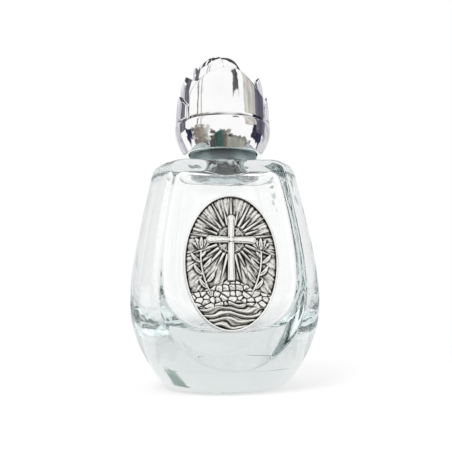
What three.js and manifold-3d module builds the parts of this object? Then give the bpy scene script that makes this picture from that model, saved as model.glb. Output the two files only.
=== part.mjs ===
// Holy water bottle: a thick glass flacon with a flat sloping front and back, an oval relief medal
// bonded to the front, and a rosebud screw cap with its threaded insert and seal.
// Millimetres, +Z up, the front faces -Y, and the origin is the centre of the base.
import * as THREE from "three";
import { mergeVertices } from "three/addons/utils/BufferGeometryUtils.js";
import Module from "manifold-3d";

// Glass body, outside. A pull is the share of a stretch's height for which its curve keeps its direction.
const BASE_RADIUS = 10.5;
const PUSH_UP_RADIUS = 8.5;
const PUSH_UP_DEPTH = 0.5;
const HEEL_RADIUS = 14.3;
const HEEL_HEIGHT = 1.8;
const HEEL_LEAN = 51;
const BELLY_RADIUS = 21;
const BELLY_HEIGHT = 18.8;
const SHOULDER_RADIUS = 15.75;
const SHOULDER_HEIGHT = 49;
const SHOULDER_ROUND = 2.5;
const FLANK_LEAN = 12.7;
const HEEL_PULL = 0.41;
const BELLY_PULL_BELOW = 0.32;
const BELLY_PULL_ABOVE = 0.26;
const FLANK_PULL = 0.42;
const PANEL_FOOT = 17.2;
const PANEL_LEAN = 7.3;
const PANEL_ROUND = 2.3;

// Glass body, inside
const FLOOR_THICKNESS = 12;
const FLOOR_CORNER = 4.8;
const FLOOR_FLAT = 9;
const FLOOR_PULL = 4.5;
const BELLY_WALL = 4.4;
const SHOULDER_WALL = 3;
const PANEL_WALL = 3;
const SHOULDER_THICKNESS = 2.5;
const CAVITY_CORNER = 2.2;
const CAVITY_EDGE = 1.2;

// Neck
const BORE_RADIUS = 3.5;
const BORE_FLARE = 3.8;
const COLLAR_RADIUS = 7.6;
const COLLAR_HEIGHT = 3.2;
const COLLAR_FILLET = 0.6;
const NECK_RADIUS = 5.75;
const FINISH_HEIGHT = 12.5;
const LIP_ROUND = 0.6;
const THREAD_DEPTH = 0.75;
const THREAD_PITCH = 2.117;
const THREAD_TURNS = 1.75;
const THREAD_START = 4.8;
const THREAD_SINK = 0.2;
const THREAD_ROOT_WIDTH = 1.1;
const THREAD_CREST_WIDTH = 0.5;

// Seal and threaded insert
const THREAD_CLEARANCE = 0.2;
const SEAT_GAP = 0.3;
const SEAL_THICKNESS = 1;
const INSERT_WALL = 0.85;
const INSERT_ROOF = 1;
const INSERT_LIFT = 0.4;
const INSERT_TURNS = 2.25;

// Cap shell: the round bulb and the rose above its ring line
const RIM_LIFT = 2.7;
const RIM_RADIUS = 9;
const BULB_RADIUS = 10.96;
const BULB_HEIGHT = 6.9;
const BULB_FULLNESS = 0.46;
const BULB_PULL_BELOW = 0.25;
const BULB_PULL_ABOVE = 0.44;
const BULB_EDGE = 0.25;
const CORE_RADIUS = 9;
const CORE_HEIGHT = 11.6;
const CORE_TAPER = 1.5;
const CORE_STRAIGHT = 0.6;
const CORE_TURN = 0.9;
const RECESS_RADIUS = 4.4;
const RECESS_HEIGHT = 4.6;
const RECESS_TAPER = 1;
const PETAL_ROOT = 1.2;
const ROSE_TURN = 3;
const BUD_RADIUS = 5.6;
const BUD_HEIGHT = 16.1;
const BUD_SHIFT = -0.6;
const BUD_TRIM = 0.1;
const BUD_BLADE = 0.85;
const BUD_GROOVE = 0.35;
const BUD_TURNS = 3.4;

// The rose's petals, ring by ring. Heights are above the ring line; low and high are the two shoulders of
// a petal's rounded outline, curl is how far its tip leans in, span is half of its arc and turns are the
// places of its copies, in degrees.
const PETALS = [
  { radius: 10.85, blade: 0.9, low: 4.6, high: 5.2, tip: 10.75, curl: 0.5, span: 52.5, turns: [-90, 90] },
  { radius: 10.8, blade: 0.9, low: 3.4, high: 3.4, tip: 6.8, curl: 0.5, span: 36, turns: [0, 180] },
  { radius: 9.9, blade: 0.8, low: 7.6, high: 8.4, tip: 11.2, curl: 1, span: 50, turns: [0, 180] },
  { radius: 7.5, blade: 0.8, low: 9.8, high: 10.2, tip: 13, curl: 0.6, span: 44, turns: [-125, 55] },
];
const PETAL_STRAIGHT = 0.45;
const PETAL_BEND = 0.85;

// Relief medal and its bond to the front panel
const MEDAL_WIDTH = 19.4;
const MEDAL_HEIGHT = 28.1;
const MEDAL_PLACE = 26.6;
const MEDAL_SHIFT = -0.45;
const MEDAL_TURN = -1.5;
const MEDAL_PLATE = 0.8;
const MEDAL_RIM = 0.45;
const MEDAL_RIM_RISE = 0.35;
const RELIEF_RISE = 0.4;
const LILY_RISE = 0.3;
const MOUND_RISE = 0.25;
const RAY_RISE = 0.15;
const BOND_THICKNESS = 0.25;
const BOND_MARGIN = 1.6;
const BOND_GAP = 0.1;

// Relief on the medal: a cross with rays on a mound, lilies at its sides and water below
const CROSS_HEIGHT = 13.5;
const CROSS_SPAN = 8.4;
const CROSS_BAR = 1.5;
const CROSS_FOOT = -4.4;
const CROSS_ARM = 4.6;
const CROSS_FLARE = 0.3;
const RAY_COUNT = 11;
const RAY_FAN = 150;
const RAY_START = 5.5;
const RAY_WIDTH = 0.8;
const MOUND_TOP = -3.8;
const MOUND_DROP = 2.8;
const MOUND_BANK = 1;
const RIPPLE_COUNT = 4;
const RIPPLE_STEP = 1.45;
const RIPPLE_WIDTH = 0.55;
const RIPPLE_TOP = -8.9;
const RIPPLE_SWELL = 0.35;
const RIPPLE_SHIFT = 1.7;
const LILY_REACH = 6.3;
const LILY_BOW = 2.2;
const LILY_TOP = 3.4;
const LILY_STEM = 0.5;
const LILY_PETAL = 2.3;

// How far a cutting shape runs past what it cuts, and how far a raised form is rooted in what it stands on
const CUT_PAST = 1;
const RELIEF_ROOT = 0.1;

// Fineness of the round stretches
const AROUND = 48;
const AROUND_CAP = 40;
const AROUND_BUD = 24;
const BUD_STEPS = 14;
const THREAD_STEPS = 20;

const wasm = await Module();
wasm.setup();

const radians = THREE.MathUtils.degToRad;

// A closed geometry as a solid that can be joined and cut.
function solid(geometry) {
  const plain = geometry.clone();
  plain.deleteAttribute("normal");
  plain.deleteAttribute("uv");
  const merged = mergeVertices(plain, 1e-4);
  const mesh = new wasm.Mesh({
    numProp: 3,
    vertProperties: new Float32Array(merged.attributes.position.array),
    triVerts: new Uint32Array(merged.index.array),
  });
  return new wasm.Manifold(mesh);
}

// A solid back as a geometry.
function geometryOf(shape) {
  const mesh = shape.getMesh();
  const geometry = new THREE.BufferGeometry();
  geometry.setAttribute("position", new THREE.BufferAttribute(mesh.vertProperties, 3));
  geometry.setIndex(new THREE.BufferAttribute(mesh.triVerts, 1));
  geometry.computeVertexNormals();
  return geometry;
}

function join(shapes) {
  return shapes.reduce((all, shape) => all.add(shape));
}

// A path of radius and height, drawn upwards, turned about +Z.
function turned(path, around, divisions) {
  const points = path.getPoints(divisions);
  return solid(new THREE.LatheGeometry(points, around).rotateX(Math.PI / 2));
}

// A shape of width and height, as seen from the front, extruded from -Y to +Y about the middle.
function slab(shape, depth, divisions) {
  const options = { depth, bevelEnabled: false, curveSegments: divisions };
  return new THREE.ExtrudeGeometry(shape, options).rotateX(Math.PI / 2).translate(0, depth / 2, 0);
}

// Distance of the front or back panel's plane from the axis at a height.
function panelDistance(height, wall) {
  return PANEL_FOOT - height * Math.tan(radians(PANEL_LEAN)) - wall / Math.cos(radians(PANEL_LEAN));
}

// Everything between the two panel planes, with rounded top edges, as a solid along X.
function betweenPanels(wall, bottom, top, round) {
  const edge = panelDistance(top, wall);
  const side = panelDistance(top - round, wall);
  const foot = panelDistance(bottom, wall);
  const shape = new THREE.Shape();
  shape.moveTo(-foot, bottom);
  shape.lineTo(foot, bottom);
  shape.lineTo(side, top - round);
  shape.quadraticCurveTo(edge, top, edge - round, top);
  shape.lineTo(round - edge, top);
  shape.quadraticCurveTo(-edge, top, -side, top - round);
  return solid(slab(shape, 2 * (BELLY_RADIUS + CUT_PAST), 3).rotateZ(Math.PI / 2));
}

// One screw ridge round the axis, from base radius to crest radius, fading in and out at its ends.
function screwRidge(base, crest, bottom, turns) {
  const steps = Math.round(turns * THREAD_STEPS);
  const fade = THREAD_STEPS / 6;
  const halfRoot = THREAD_ROOT_WIDTH / 2;
  const halfCrest = THREAD_CREST_WIDTH / 2;
  const positions = [];
  const index = [];
  for (let i = 0; i <= steps; i++) {
    const angle = (2 * Math.PI * i) / THREAD_STEPS;
    const height = bottom + (THREAD_PITCH * i) / THREAD_STEPS;
    const rise = Math.min(1, (i + 1) / fade, (steps - i + 1) / fade);
    const reach = THREE.MathUtils.lerp(base, crest, rise);
    const section = [[base, -halfRoot], [reach, -halfCrest], [reach, halfCrest], [base, halfRoot]];
    for (const [radius, offset] of section) {
      positions.push(radius * Math.cos(angle), radius * Math.sin(angle), height + offset);
    }
  }
  const inward = crest < base;
  const quad = (a, b, c, d) => {
    if (inward) index.push(a, c, b, a, d, c);
    else index.push(a, b, c, a, c, d);
  };
  for (let i = 0; i < steps; i++) {
    const here = 4 * i;
    const next = here + 4;
    for (let k = 0; k < 4; k++) {
      const other = (k + 1) % 4;
      quad(here + k, next + k, next + other, here + other);
    }
  }
  const last = 4 * steps;
  quad(0, 1, 2, 3);
  quad(last + 3, last + 2, last + 1, last);
  const geometry = new THREE.BufferGeometry();
  geometry.setAttribute("position", new THREE.Float32BufferAttribute(positions, 3));
  geometry.setIndex(index);
  return solid(geometry);
}

// The round outside of the body, from the base up to the flat shoulder.
function bodyProfile() {
  const heelLean = radians(HEEL_LEAN);
  const flankLean = radians(FLANK_LEAN);
  const flankTop = SHOULDER_HEIGHT - SHOULDER_ROUND;
  const flankRadius = SHOULDER_RADIUS + SHOULDER_ROUND * Math.tan(flankLean);
  const lower = BELLY_HEIGHT - HEEL_HEIGHT;
  const upper = flankTop - BELLY_HEIGHT;
  const profile = new THREE.Path();
  profile.moveTo(0, PUSH_UP_DEPTH);
  profile.lineTo(PUSH_UP_RADIUS - PUSH_UP_DEPTH, PUSH_UP_DEPTH);
  profile.lineTo(PUSH_UP_RADIUS, 0);
  profile.lineTo(BASE_RADIUS, 0);
  profile.quadraticCurveTo(HEEL_RADIUS - HEEL_HEIGHT / Math.tan(heelLean), 0, HEEL_RADIUS, HEEL_HEIGHT);
  profile.bezierCurveTo(
    HEEL_RADIUS + HEEL_PULL * lower * Math.cos(heelLean),
    HEEL_HEIGHT + HEEL_PULL * lower * Math.sin(heelLean),
    BELLY_RADIUS,
    BELLY_HEIGHT - BELLY_PULL_BELOW * lower,
    BELLY_RADIUS,
    BELLY_HEIGHT,
  );
  profile.bezierCurveTo(
    BELLY_RADIUS,
    BELLY_HEIGHT + BELLY_PULL_ABOVE * upper,
    flankRadius + FLANK_PULL * upper * Math.sin(flankLean),
    flankTop - FLANK_PULL * upper * Math.cos(flankLean),
    flankRadius,
    flankTop,
  );
  const flat = SHOULDER_RADIUS - SHOULDER_ROUND;
  profile.quadraticCurveTo(SHOULDER_RADIUS, SHOULDER_HEIGHT, flat, SHOULDER_HEIGHT);
  profile.lineTo(0, SHOULDER_HEIGHT);
  return profile;
}

// The hollow inside: a flat floor that rises like a bowl at its edge, the flank's lean and a round upper corner.
function cavityProfile() {
  const belly = BELLY_RADIUS - BELLY_WALL;
  const roof = SHOULDER_HEIGHT - SHOULDER_THICKNESS;
  const upperRadius = SHOULDER_RADIUS - SHOULDER_WALL + CAVITY_CORNER * Math.tan(radians(FLANK_LEAN));
  const upperHeight = roof - CAVITY_CORNER;
  const bellyHeight = FLOOR_THICKNESS + 2 * FLOOR_CORNER;
  const rise = upperHeight - bellyHeight;
  const profile = new THREE.Path();
  profile.moveTo(0, FLOOR_THICKNESS);
  profile.lineTo(FLOOR_FLAT, FLOOR_THICKNESS);
  profile.bezierCurveTo(
    FLOOR_FLAT + FLOOR_PULL,
    FLOOR_THICKNESS,
    belly,
    FLOOR_THICKNESS + FLOOR_CORNER,
    belly,
    bellyHeight,
  );
  profile.bezierCurveTo(
    belly,
    bellyHeight + rise / 3,
    upperRadius + (rise / 3) * Math.tan(radians(FLANK_LEAN)),
    upperHeight - rise / 3,
    upperRadius,
    upperHeight,
  );
  const flat = upperRadius - CAVITY_CORNER;
  profile.quadraticCurveTo(upperRadius - CAVITY_CORNER * Math.tan(radians(FLANK_LEAN)), roof, flat, roof);
  profile.lineTo(0, roof);
  return profile;
}

const LIP_HEIGHT = SHOULDER_HEIGHT + FINISH_HEIGHT;
const COLLAR_TOP = SHOULDER_HEIGHT + COLLAR_HEIGHT;

// The neck's outside: collar with a fillet at its foot, straight finish and rounded lip.
function neckProfile() {
  const foot = COLLAR_RADIUS + COLLAR_FILLET;
  const edge = COLLAR_FILLET;
  const profile = new THREE.Path();
  profile.moveTo(0, SHOULDER_HEIGHT - CUT_PAST);
  profile.lineTo(foot, SHOULDER_HEIGHT - CUT_PAST);
  profile.lineTo(foot, SHOULDER_HEIGHT);
  profile.quadraticCurveTo(COLLAR_RADIUS, SHOULDER_HEIGHT, COLLAR_RADIUS, SHOULDER_HEIGHT + COLLAR_FILLET);
  profile.lineTo(COLLAR_RADIUS, COLLAR_TOP - edge);
  profile.quadraticCurveTo(COLLAR_RADIUS, COLLAR_TOP, COLLAR_RADIUS - edge, COLLAR_TOP);
  profile.lineTo(NECK_RADIUS, COLLAR_TOP);
  profile.lineTo(NECK_RADIUS, LIP_HEIGHT - LIP_ROUND);
  profile.quadraticCurveTo(NECK_RADIUS, LIP_HEIGHT, NECK_RADIUS - LIP_ROUND, LIP_HEIGHT);
  profile.lineTo(0, LIP_HEIGHT);
  return profile;
}

// The neck's bore, flaring out where it opens into the hollow.
function boreProfile() {
  const roof = SHOULDER_HEIGHT - SHOULDER_THICKNESS;
  const profile = new THREE.Path();
  profile.moveTo(0, roof - CUT_PAST);
  profile.lineTo(BORE_RADIUS + BORE_FLARE, roof - CUT_PAST);
  profile.lineTo(BORE_RADIUS + BORE_FLARE, roof);
  profile.quadraticCurveTo(BORE_RADIUS, roof, BORE_RADIUS, roof + BORE_FLARE);
  profile.lineTo(BORE_RADIUS, LIP_HEIGHT + CUT_PAST);
  profile.lineTo(0, LIP_HEIGHT + CUT_PAST);
  return profile;
}

function glassBottle() {
  const outside = turned(bodyProfile(), AROUND, 6);
  const flats = betweenPanels(0, -CUT_PAST, SHOULDER_HEIGHT, PANEL_ROUND);
  const neck = turned(neckProfile(), AROUND_CAP, 3);
  const ridge = screwRidge(
    NECK_RADIUS - THREAD_SINK,
    NECK_RADIUS + THREAD_DEPTH,
    SHOULDER_HEIGHT + THREAD_START,
    THREAD_TURNS,
  );
  const roof = SHOULDER_HEIGHT - SHOULDER_THICKNESS;
  const insideFlats = betweenPanels(PANEL_WALL, FLOOR_THICKNESS - CUT_PAST, roof, CAVITY_EDGE);
  const hollow = turned(cavityProfile(), AROUND, 5).intersect(insideFlats);
  const bore = turned(boreProfile(), AROUND_CAP, 3);
  return outside.intersect(flats).add(neck).add(ridge).subtract(hollow.add(bore));
}

const INSERT_INSIDE = NECK_RADIUS + THREAD_DEPTH + THREAD_CLEARANCE;
const INSERT_OUTSIDE = INSERT_INSIDE + INSERT_WALL;
const INSERT_FOOT = COLLAR_TOP + INSERT_LIFT;
const SEAL_FOOT = LIP_HEIGHT + SEAT_GAP;
const INSERT_CEILING = SEAL_FOOT + SEAL_THICKNESS + SEAT_GAP;
const INSERT_TOP = INSERT_CEILING + INSERT_ROOF;

// The foam disc between the lip and the insert's ceiling.
function sealLiner() {
  const radius = INSERT_INSIDE - SEAT_GAP;
  const profile = new THREE.Path();
  profile.moveTo(0, SEAL_FOOT);
  profile.lineTo(radius, SEAL_FOOT);
  profile.lineTo(radius, SEAL_FOOT + SEAL_THICKNESS);
  profile.lineTo(0, SEAL_FOOT + SEAL_THICKNESS);
  return turned(profile, AROUND_CAP, 1);
}

// The plastic insert: a cup with one screw ridge inside, in mesh half a pitch from the neck's.
function screwInsert() {
  const cup = new THREE.Path();
  cup.moveTo(0, INSERT_CEILING);
  cup.lineTo(INSERT_INSIDE, INSERT_CEILING);
  cup.lineTo(INSERT_INSIDE, INSERT_FOOT);
  cup.lineTo(INSERT_OUTSIDE, INSERT_FOOT);
  cup.lineTo(INSERT_OUTSIDE, INSERT_TOP);
  cup.lineTo(0, INSERT_TOP);
  const below = THREAD_PITCH / 2;
  const ridge = screwRidge(
    INSERT_INSIDE + THREAD_SINK,
    NECK_RADIUS + THREAD_CLEARANCE,
    SHOULDER_HEIGHT + THREAD_START - below,
    INSERT_TURNS,
  );
  return turned(cup, AROUND_CAP, 1).add(ridge);
}

const CAP_RIM = SHOULDER_HEIGHT + RIM_LIFT;
const RING_LINE = CAP_RIM + BULB_HEIGHT;
const SHELL_BORE = INSERT_OUTSIDE + SEAT_GAP;
const SHELL_CEILING = INSERT_TOP + SEAT_GAP;

// The bulb below the ring line, with the rose's core inside the petals above it.
function bulbProfile() {
  const shoulder = RING_LINE - 2 * BULB_EDGE;
  const swell = BULB_RADIUS - RIM_RADIUS;
  const profile = new THREE.Path();
  profile.moveTo(0, CAP_RIM);
  profile.lineTo(RIM_RADIUS, CAP_RIM);
  profile.bezierCurveTo(
    RIM_RADIUS + BULB_FULLNESS * swell,
    CAP_RIM + BULB_PULL_BELOW * BULB_HEIGHT,
    BULB_RADIUS,
    shoulder - BULB_PULL_ABOVE * BULB_HEIGHT,
    BULB_RADIUS,
    shoulder,
  );
  profile.quadraticCurveTo(BULB_RADIUS, RING_LINE, BULB_RADIUS - BULB_EDGE, RING_LINE);
  profile.lineTo(CORE_RADIUS, RING_LINE);
  profile.bezierCurveTo(
    CORE_RADIUS,
    RING_LINE + CORE_STRAIGHT * CORE_HEIGHT,
    CORE_RADIUS - CORE_TAPER,
    RING_LINE + CORE_TURN * CORE_HEIGHT,
    BUD_RADIUS,
    RING_LINE + CORE_HEIGHT,
  );
  profile.lineTo(0, RING_LINE + CORE_HEIGHT);
  return profile;
}

// The bud's outside: a dome that closes on the axis.
function budDome() {
  const foot = RING_LINE + CORE_HEIGHT;
  const top = RING_LINE + BUD_HEIGHT;
  const profile = new THREE.Path();
  profile.moveTo(0, foot - CUT_PAST);
  profile.lineTo(BUD_RADIUS, foot - CUT_PAST);
  profile.bezierCurveTo(BUD_RADIUS, foot + 0.55 * (top - foot), 0.7 * BUD_RADIUS, top, 0, top);
  return turned(profile, AROUND_BUD, 6);
}

// The bud's rolled petal: one blade that winds inwards, seen from above as a spiral.
function budRoll() {
  const steps = Math.round(BUD_TURNS * BUD_STEPS);
  const point = (i, inset) => {
    const turn = i / BUD_STEPS;
    const radius = BUD_RADIUS + BUD_TRIM - (BUD_BLADE + BUD_GROOVE) * turn - inset;
    return new THREE.Vector2(radius, 0).rotateAround(new THREE.Vector2(), 2 * Math.PI * turn);
  };
  const points = [];
  for (let i = 0; i <= steps; i++) points.push(point(i, 0));
  for (let i = steps; i >= 0; i--) points.push(point(i, BUD_BLADE));
  const height = BUD_HEIGHT - CORE_HEIGHT + CUT_PAST;
  const options = { depth: height, bevelEnabled: false };
  const geometry = new THREE.ExtrudeGeometry(new THREE.Shape(points), options);
  return solid(geometry.translate(0, 0, RING_LINE + CORE_HEIGHT - CUT_PAST / 2));
}

// A ring with a petal's section: straight at the foot, its top leaning in by the petal's curl.
function bladeRing(petal) {
  const { radius, blade, curl } = petal;
  const foot = RING_LINE - PETAL_ROOT;
  const straight = RING_LINE + PETAL_STRAIGHT * petal.tip;
  const bend = RING_LINE + PETAL_BEND * petal.tip;
  const tip = RING_LINE + petal.tip;
  const past = (curl * CUT_PAST) / (tip - bend);
  const section = new THREE.Path();
  section.moveTo(radius - blade, foot);
  section.lineTo(radius, foot);
  section.lineTo(radius, straight);
  section.quadraticCurveTo(radius, bend, radius - curl, tip);
  section.lineTo(radius - curl - past, tip + CUT_PAST);
  section.lineTo(radius - curl - past - blade, tip + CUT_PAST);
  section.lineTo(radius - curl - blade, tip);
  section.quadraticCurveTo(radius - blade, bend, radius - blade, straight);
  section.lineTo(radius - blade, foot);
  return turned(section, AROUND_CAP, 3);
}

// A wedge about the axis that faces the front and holds a petal's span.
function wedge(petal) {
  const reach = petal.radius + 2 * CUT_PAST;
  const shape = new THREE.Shape();
  shape.moveTo(0, 0);
  shape.absarc(0, 0, reach, radians(-90 - petal.span), radians(-90 + petal.span), false);
  const depth = PETAL_ROOT + petal.tip + 3 * CUT_PAST;
  const geometry = new THREE.ExtrudeGeometry(shape, { depth, bevelEnabled: false, curveSegments: 4 });
  return solid(geometry.translate(0, 0, RING_LINE - PETAL_ROOT - CUT_PAST));
}

// A petal's rounded outline from the front: one shoulder fuller, the other a longer slope.
function petalOutline(petal, foot) {
  const half = petal.radius * Math.sin(radians(petal.span));
  const past = half + CUT_PAST;
  const low = RING_LINE + petal.low;
  const high = RING_LINE + petal.high;
  const tip = RING_LINE + petal.tip;
  const shape = new THREE.Shape();
  shape.moveTo(-past, RING_LINE + foot);
  shape.lineTo(past, RING_LINE + foot);
  shape.lineTo(past, high);
  shape.lineTo(half, high);
  shape.bezierCurveTo(0.62 * half, high + 0.55 * (tip - high), 0.4 * half, tip, 0, tip);
  shape.bezierCurveTo(-0.66 * half, tip, -half, low + 0.65 * (tip - low), -half, low);
  shape.lineTo(-past, low);
  const plain = slab(shape, 2 * (petal.radius + CUT_PAST), 5);
  return solid(plain.translate(0, -petal.radius - CUT_PAST, 0));
}

function petalBlades(petal) {
  const blade = bladeRing(petal).intersect(wedge(petal));
  const shaped = blade.intersect(petalOutline(petal, -PETAL_ROOT - CUT_PAST));
  return petal.turns.map((turn) => shaped.rotate([0, 0, turn + 90 + ROSE_TURN]));
}

function shellBoreProfile() {
  const profile = new THREE.Path();
  profile.moveTo(0, CAP_RIM - CUT_PAST);
  profile.lineTo(SHELL_BORE, CAP_RIM - CUT_PAST);
  profile.lineTo(SHELL_BORE, SHELL_CEILING);
  profile.lineTo(RECESS_RADIUS, SHELL_CEILING);
  profile.lineTo(RECESS_RADIUS - RECESS_TAPER, SHELL_CEILING + RECESS_HEIGHT);
  profile.lineTo(0, SHELL_CEILING + RECESS_HEIGHT);
  return profile;
}

function capShell() {
  const bulb = turned(bulbProfile(), AROUND_CAP, 5);
  const petals = PETALS.flatMap(petalBlades);
  const bud = budRoll().intersect(budDome()).translate([BUD_SHIFT, 0, 0]);
  const whole = join([bulb, bud, ...petals]);
  return whole.subtract(turned(shellBoreProfile(), AROUND_CAP, 1));
}

// The medal and its bond are drawn flat: X to the right, Y up the panel, Z out of the glass.
function oval(width, height) {
  const shape = new THREE.Shape();
  shape.absellipse(0, 0, width / 2, height / 2, 0, 2 * Math.PI, false, 0);
  return shape;
}

function plate(shape, bottom, thickness, divisions) {
  const options = { depth: thickness, bevelEnabled: false, curveSegments: divisions };
  return solid(new THREE.ExtrudeGeometry(shape, options).translate(0, 0, bottom));
}

const MEDAL_BACK = BOND_THICKNESS + 2 * BOND_GAP;
const MEDAL_FIELD = MEDAL_BACK + MEDAL_PLATE;
const OVAL_STEPS = 48;

function crossShape() {
  const bar = CROSS_BAR / 2;
  const arm = CROSS_SPAN / 2;
  const top = CROSS_FOOT + CROSS_HEIGHT;
  const shape = new THREE.Shape();
  shape.moveTo(-bar, CROSS_FOOT);
  shape.lineTo(bar, CROSS_FOOT);
  shape.lineTo(bar, CROSS_ARM - bar);
  shape.lineTo(arm, CROSS_ARM - bar - CROSS_FLARE);
  shape.lineTo(arm, CROSS_ARM + bar + CROSS_FLARE);
  shape.lineTo(bar, CROSS_ARM + bar);
  shape.lineTo(bar + CROSS_FLARE, top);
  shape.lineTo(-bar - CROSS_FLARE, top);
  shape.lineTo(-bar, CROSS_ARM + bar);
  shape.lineTo(-arm, CROSS_ARM + bar + CROSS_FLARE);
  shape.lineTo(-arm, CROSS_ARM - bar - CROSS_FLARE);
  shape.lineTo(-bar, CROSS_ARM - bar);
  return shape;
}

// Rays that fan out above the cross and widen towards the rim, trimmed later by the oval.
function rays(bottom) {
  const centre = new THREE.Vector2(0, CROSS_ARM);
  const shapes = [];
  for (let i = 0; i < RAY_COUNT; i++) {
    const angle = radians(90 - RAY_FAN / 2 + (RAY_FAN * i) / (RAY_COUNT - 1));
    const along = new THREE.Vector2(Math.cos(angle), Math.sin(angle));
    const across = new THREE.Vector2(-along.y, along.x).multiplyScalar(RAY_WIDTH / 2);
    const wide = across.clone().multiplyScalar(MEDAL_WIDTH / RAY_START / 2);
    const start = along.clone().multiplyScalar(RAY_START).add(centre);
    const end = along.clone().multiplyScalar(MEDAL_WIDTH).add(centre);
    const corners = [start.clone().sub(across), end.clone().sub(wide), end.clone().add(wide)];
    const shape = new THREE.Shape([...corners, start.clone().add(across)]);
    shapes.push(plate(shape, bottom, RAY_RISE + RELIEF_ROOT, 1));
  }
  return join(shapes);
}

function moundShape() {
  const half = MEDAL_WIDTH / 2;
  const shape = new THREE.Shape();
  shape.moveTo(-half, MOUND_TOP - MOUND_DROP - MOUND_BANK);
  shape.lineTo(half, MOUND_TOP - MOUND_DROP - MOUND_BANK);
  shape.lineTo(half, MOUND_TOP - MOUND_DROP);
  shape.bezierCurveTo(half / 2, MOUND_TOP - MOUND_DROP, half / 3, MOUND_TOP, 0, MOUND_TOP);
  shape.bezierCurveTo(-half / 3, MOUND_TOP, -half / 2, MOUND_TOP - MOUND_DROP, -half, MOUND_TOP - MOUND_DROP);
  return shape;
}

// One water ripple: a band between two equal waves.
function rippleShape(height, phase) {
  const half = MEDAL_WIDTH / 2;
  const steps = 16;
  const wave = (i) => RIPPLE_SWELL * Math.sin((4 * Math.PI * i) / steps + phase);
  const shape = new THREE.Shape();
  shape.moveTo(-half, height + wave(0));
  for (let i = 1; i <= steps; i++) shape.lineTo(-half + (2 * half * i) / steps, height + wave(i));
  for (let i = steps; i >= 0; i--) {
    shape.lineTo(-half + (2 * half * i) / steps, height + RIPPLE_WIDTH + wave(i));
  }
  return shape;
}

// A lily on a curved stem; side is 1 on the right and -1 on the left.
function lily(side, bottom, rise) {
  const foot = MOUND_TOP - MOUND_DROP;
  const stem = new THREE.Shape();
  stem.moveTo(side * (LILY_REACH - LILY_BOW), foot);
  stem.quadraticCurveTo(side * LILY_REACH, (foot + LILY_TOP) / 2, side * LILY_REACH, LILY_TOP);
  stem.lineTo(side * (LILY_REACH - LILY_STEM), LILY_TOP);
  stem.quadraticCurveTo(
    side * (LILY_REACH - LILY_STEM),
    (foot + LILY_TOP) / 2,
    side * (LILY_REACH - LILY_BOW - LILY_STEM),
    foot,
  );
  const pieces = [plate(stem, bottom, rise, 6)];
  for (const lean of [-45, 0, 45]) {
    const shape = new THREE.Shape();
    shape.moveTo(0, -0.4);
    shape.quadraticCurveTo(LILY_PETAL / 2.6, LILY_PETAL / 2, 0, LILY_PETAL);
    shape.quadraticCurveTo(-LILY_PETAL / 2.6, LILY_PETAL / 2, 0, -0.4);
    const petal = plate(shape, bottom, rise, 4);
    const middle = side * (LILY_REACH - LILY_STEM / 2);
    pieces.push(petal.rotate([0, 0, lean]).translate([middle, LILY_TOP, 0]));
  }
  return join(pieces);
}

function reliefMedal() {
  const field = plate(oval(MEDAL_WIDTH, MEDAL_HEIGHT), MEDAL_BACK, MEDAL_PLATE, OVAL_STEPS);
  const inner = oval(MEDAL_WIDTH - 2 * MEDAL_RIM, MEDAL_HEIGHT - 2 * MEDAL_RIM);
  const rimShape = oval(MEDAL_WIDTH, MEDAL_HEIGHT);
  rimShape.holes.push(inner);
  const root = MEDAL_FIELD - RELIEF_ROOT;
  const rim = plate(rimShape, root, MEDAL_RIM_RISE + RELIEF_ROOT, OVAL_STEPS);
  const ripples = [];
  for (let i = 0; i < RIPPLE_COUNT; i++) {
    const height = RIPPLE_TOP - i * RIPPLE_STEP;
    ripples.push(plate(rippleShape(height, i * RIPPLE_SHIFT), root, RAY_RISE + RELIEF_ROOT, 1));
  }
  const reliefs = join([
    plate(crossShape(), root, RELIEF_RISE + RELIEF_ROOT, 1),
    plate(moundShape(), root, MOUND_RISE + RELIEF_ROOT, 6),
    lily(1, root, LILY_RISE + RELIEF_ROOT),
    lily(-1, root, LILY_RISE + RELIEF_ROOT),
    rays(root),
    ...ripples,
  ]);
  const within = plate(inner, root - CUT_PAST, 3 * CUT_PAST, OVAL_STEPS);
  return join([field, rim, reliefs.intersect(within)]);
}

function bondPad() {
  const shape = oval(MEDAL_WIDTH - 2 * BOND_MARGIN, MEDAL_HEIGHT - 2 * BOND_MARGIN);
  return plate(shape, BOND_GAP, BOND_THICKNESS, OVAL_STEPS / 2);
}

function finish(colour, roughness, metalness) {
  return new THREE.MeshStandardMaterial({ color: colour, roughness, metalness });
}

function piece(name, shape, material) {
  const mesh = new THREE.Mesh(geometryOf(shape), material);
  mesh.name = name;
  return mesh;
}

const clearGlass = finish(0xe4efee, 0.05, 0);
clearGlass.transparent = true;
clearGlass.opacity = 0.35;

const bottle = new THREE.Group();
bottle.add(piece("glass_bottle", glassBottle(), clearGlass));

// The front panel leans back, so what is bonded to it leans with it, set by hand a little off its middle.
const panel = new THREE.Group();
panel.position.set(MEDAL_SHIFT, -panelDistance(MEDAL_PLACE, 0), MEDAL_PLACE);
panel.rotation.x = Math.PI / 2 - radians(PANEL_LEAN);
const bonded = new THREE.Group();
bonded.rotation.z = radians(MEDAL_TURN);
bonded.add(piece("bond_pad", bondPad(), finish(0xd9dcd8, 0.6, 0)));
bonded.add(piece("relief_medal", reliefMedal(), finish(0xa9a7a2, 0.38, 1)));
panel.add(bonded);
bottle.add(panel);

const cap = new THREE.Group();
cap.add(piece("seal_liner", sealLiner(), finish(0xf2f1ec, 0.8, 0)));
cap.add(piece("screw_insert", screwInsert(), finish(0x829494, 0.5, 0)));
cap.add(piece("cap_shell", capShell(), finish(0xd6d6da, 0.06, 1)));
bottle.add(cap);

export default bottle;
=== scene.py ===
import math

import bmesh
import bpy
import numpy as np
from mathutils import Matrix, Vector


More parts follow.
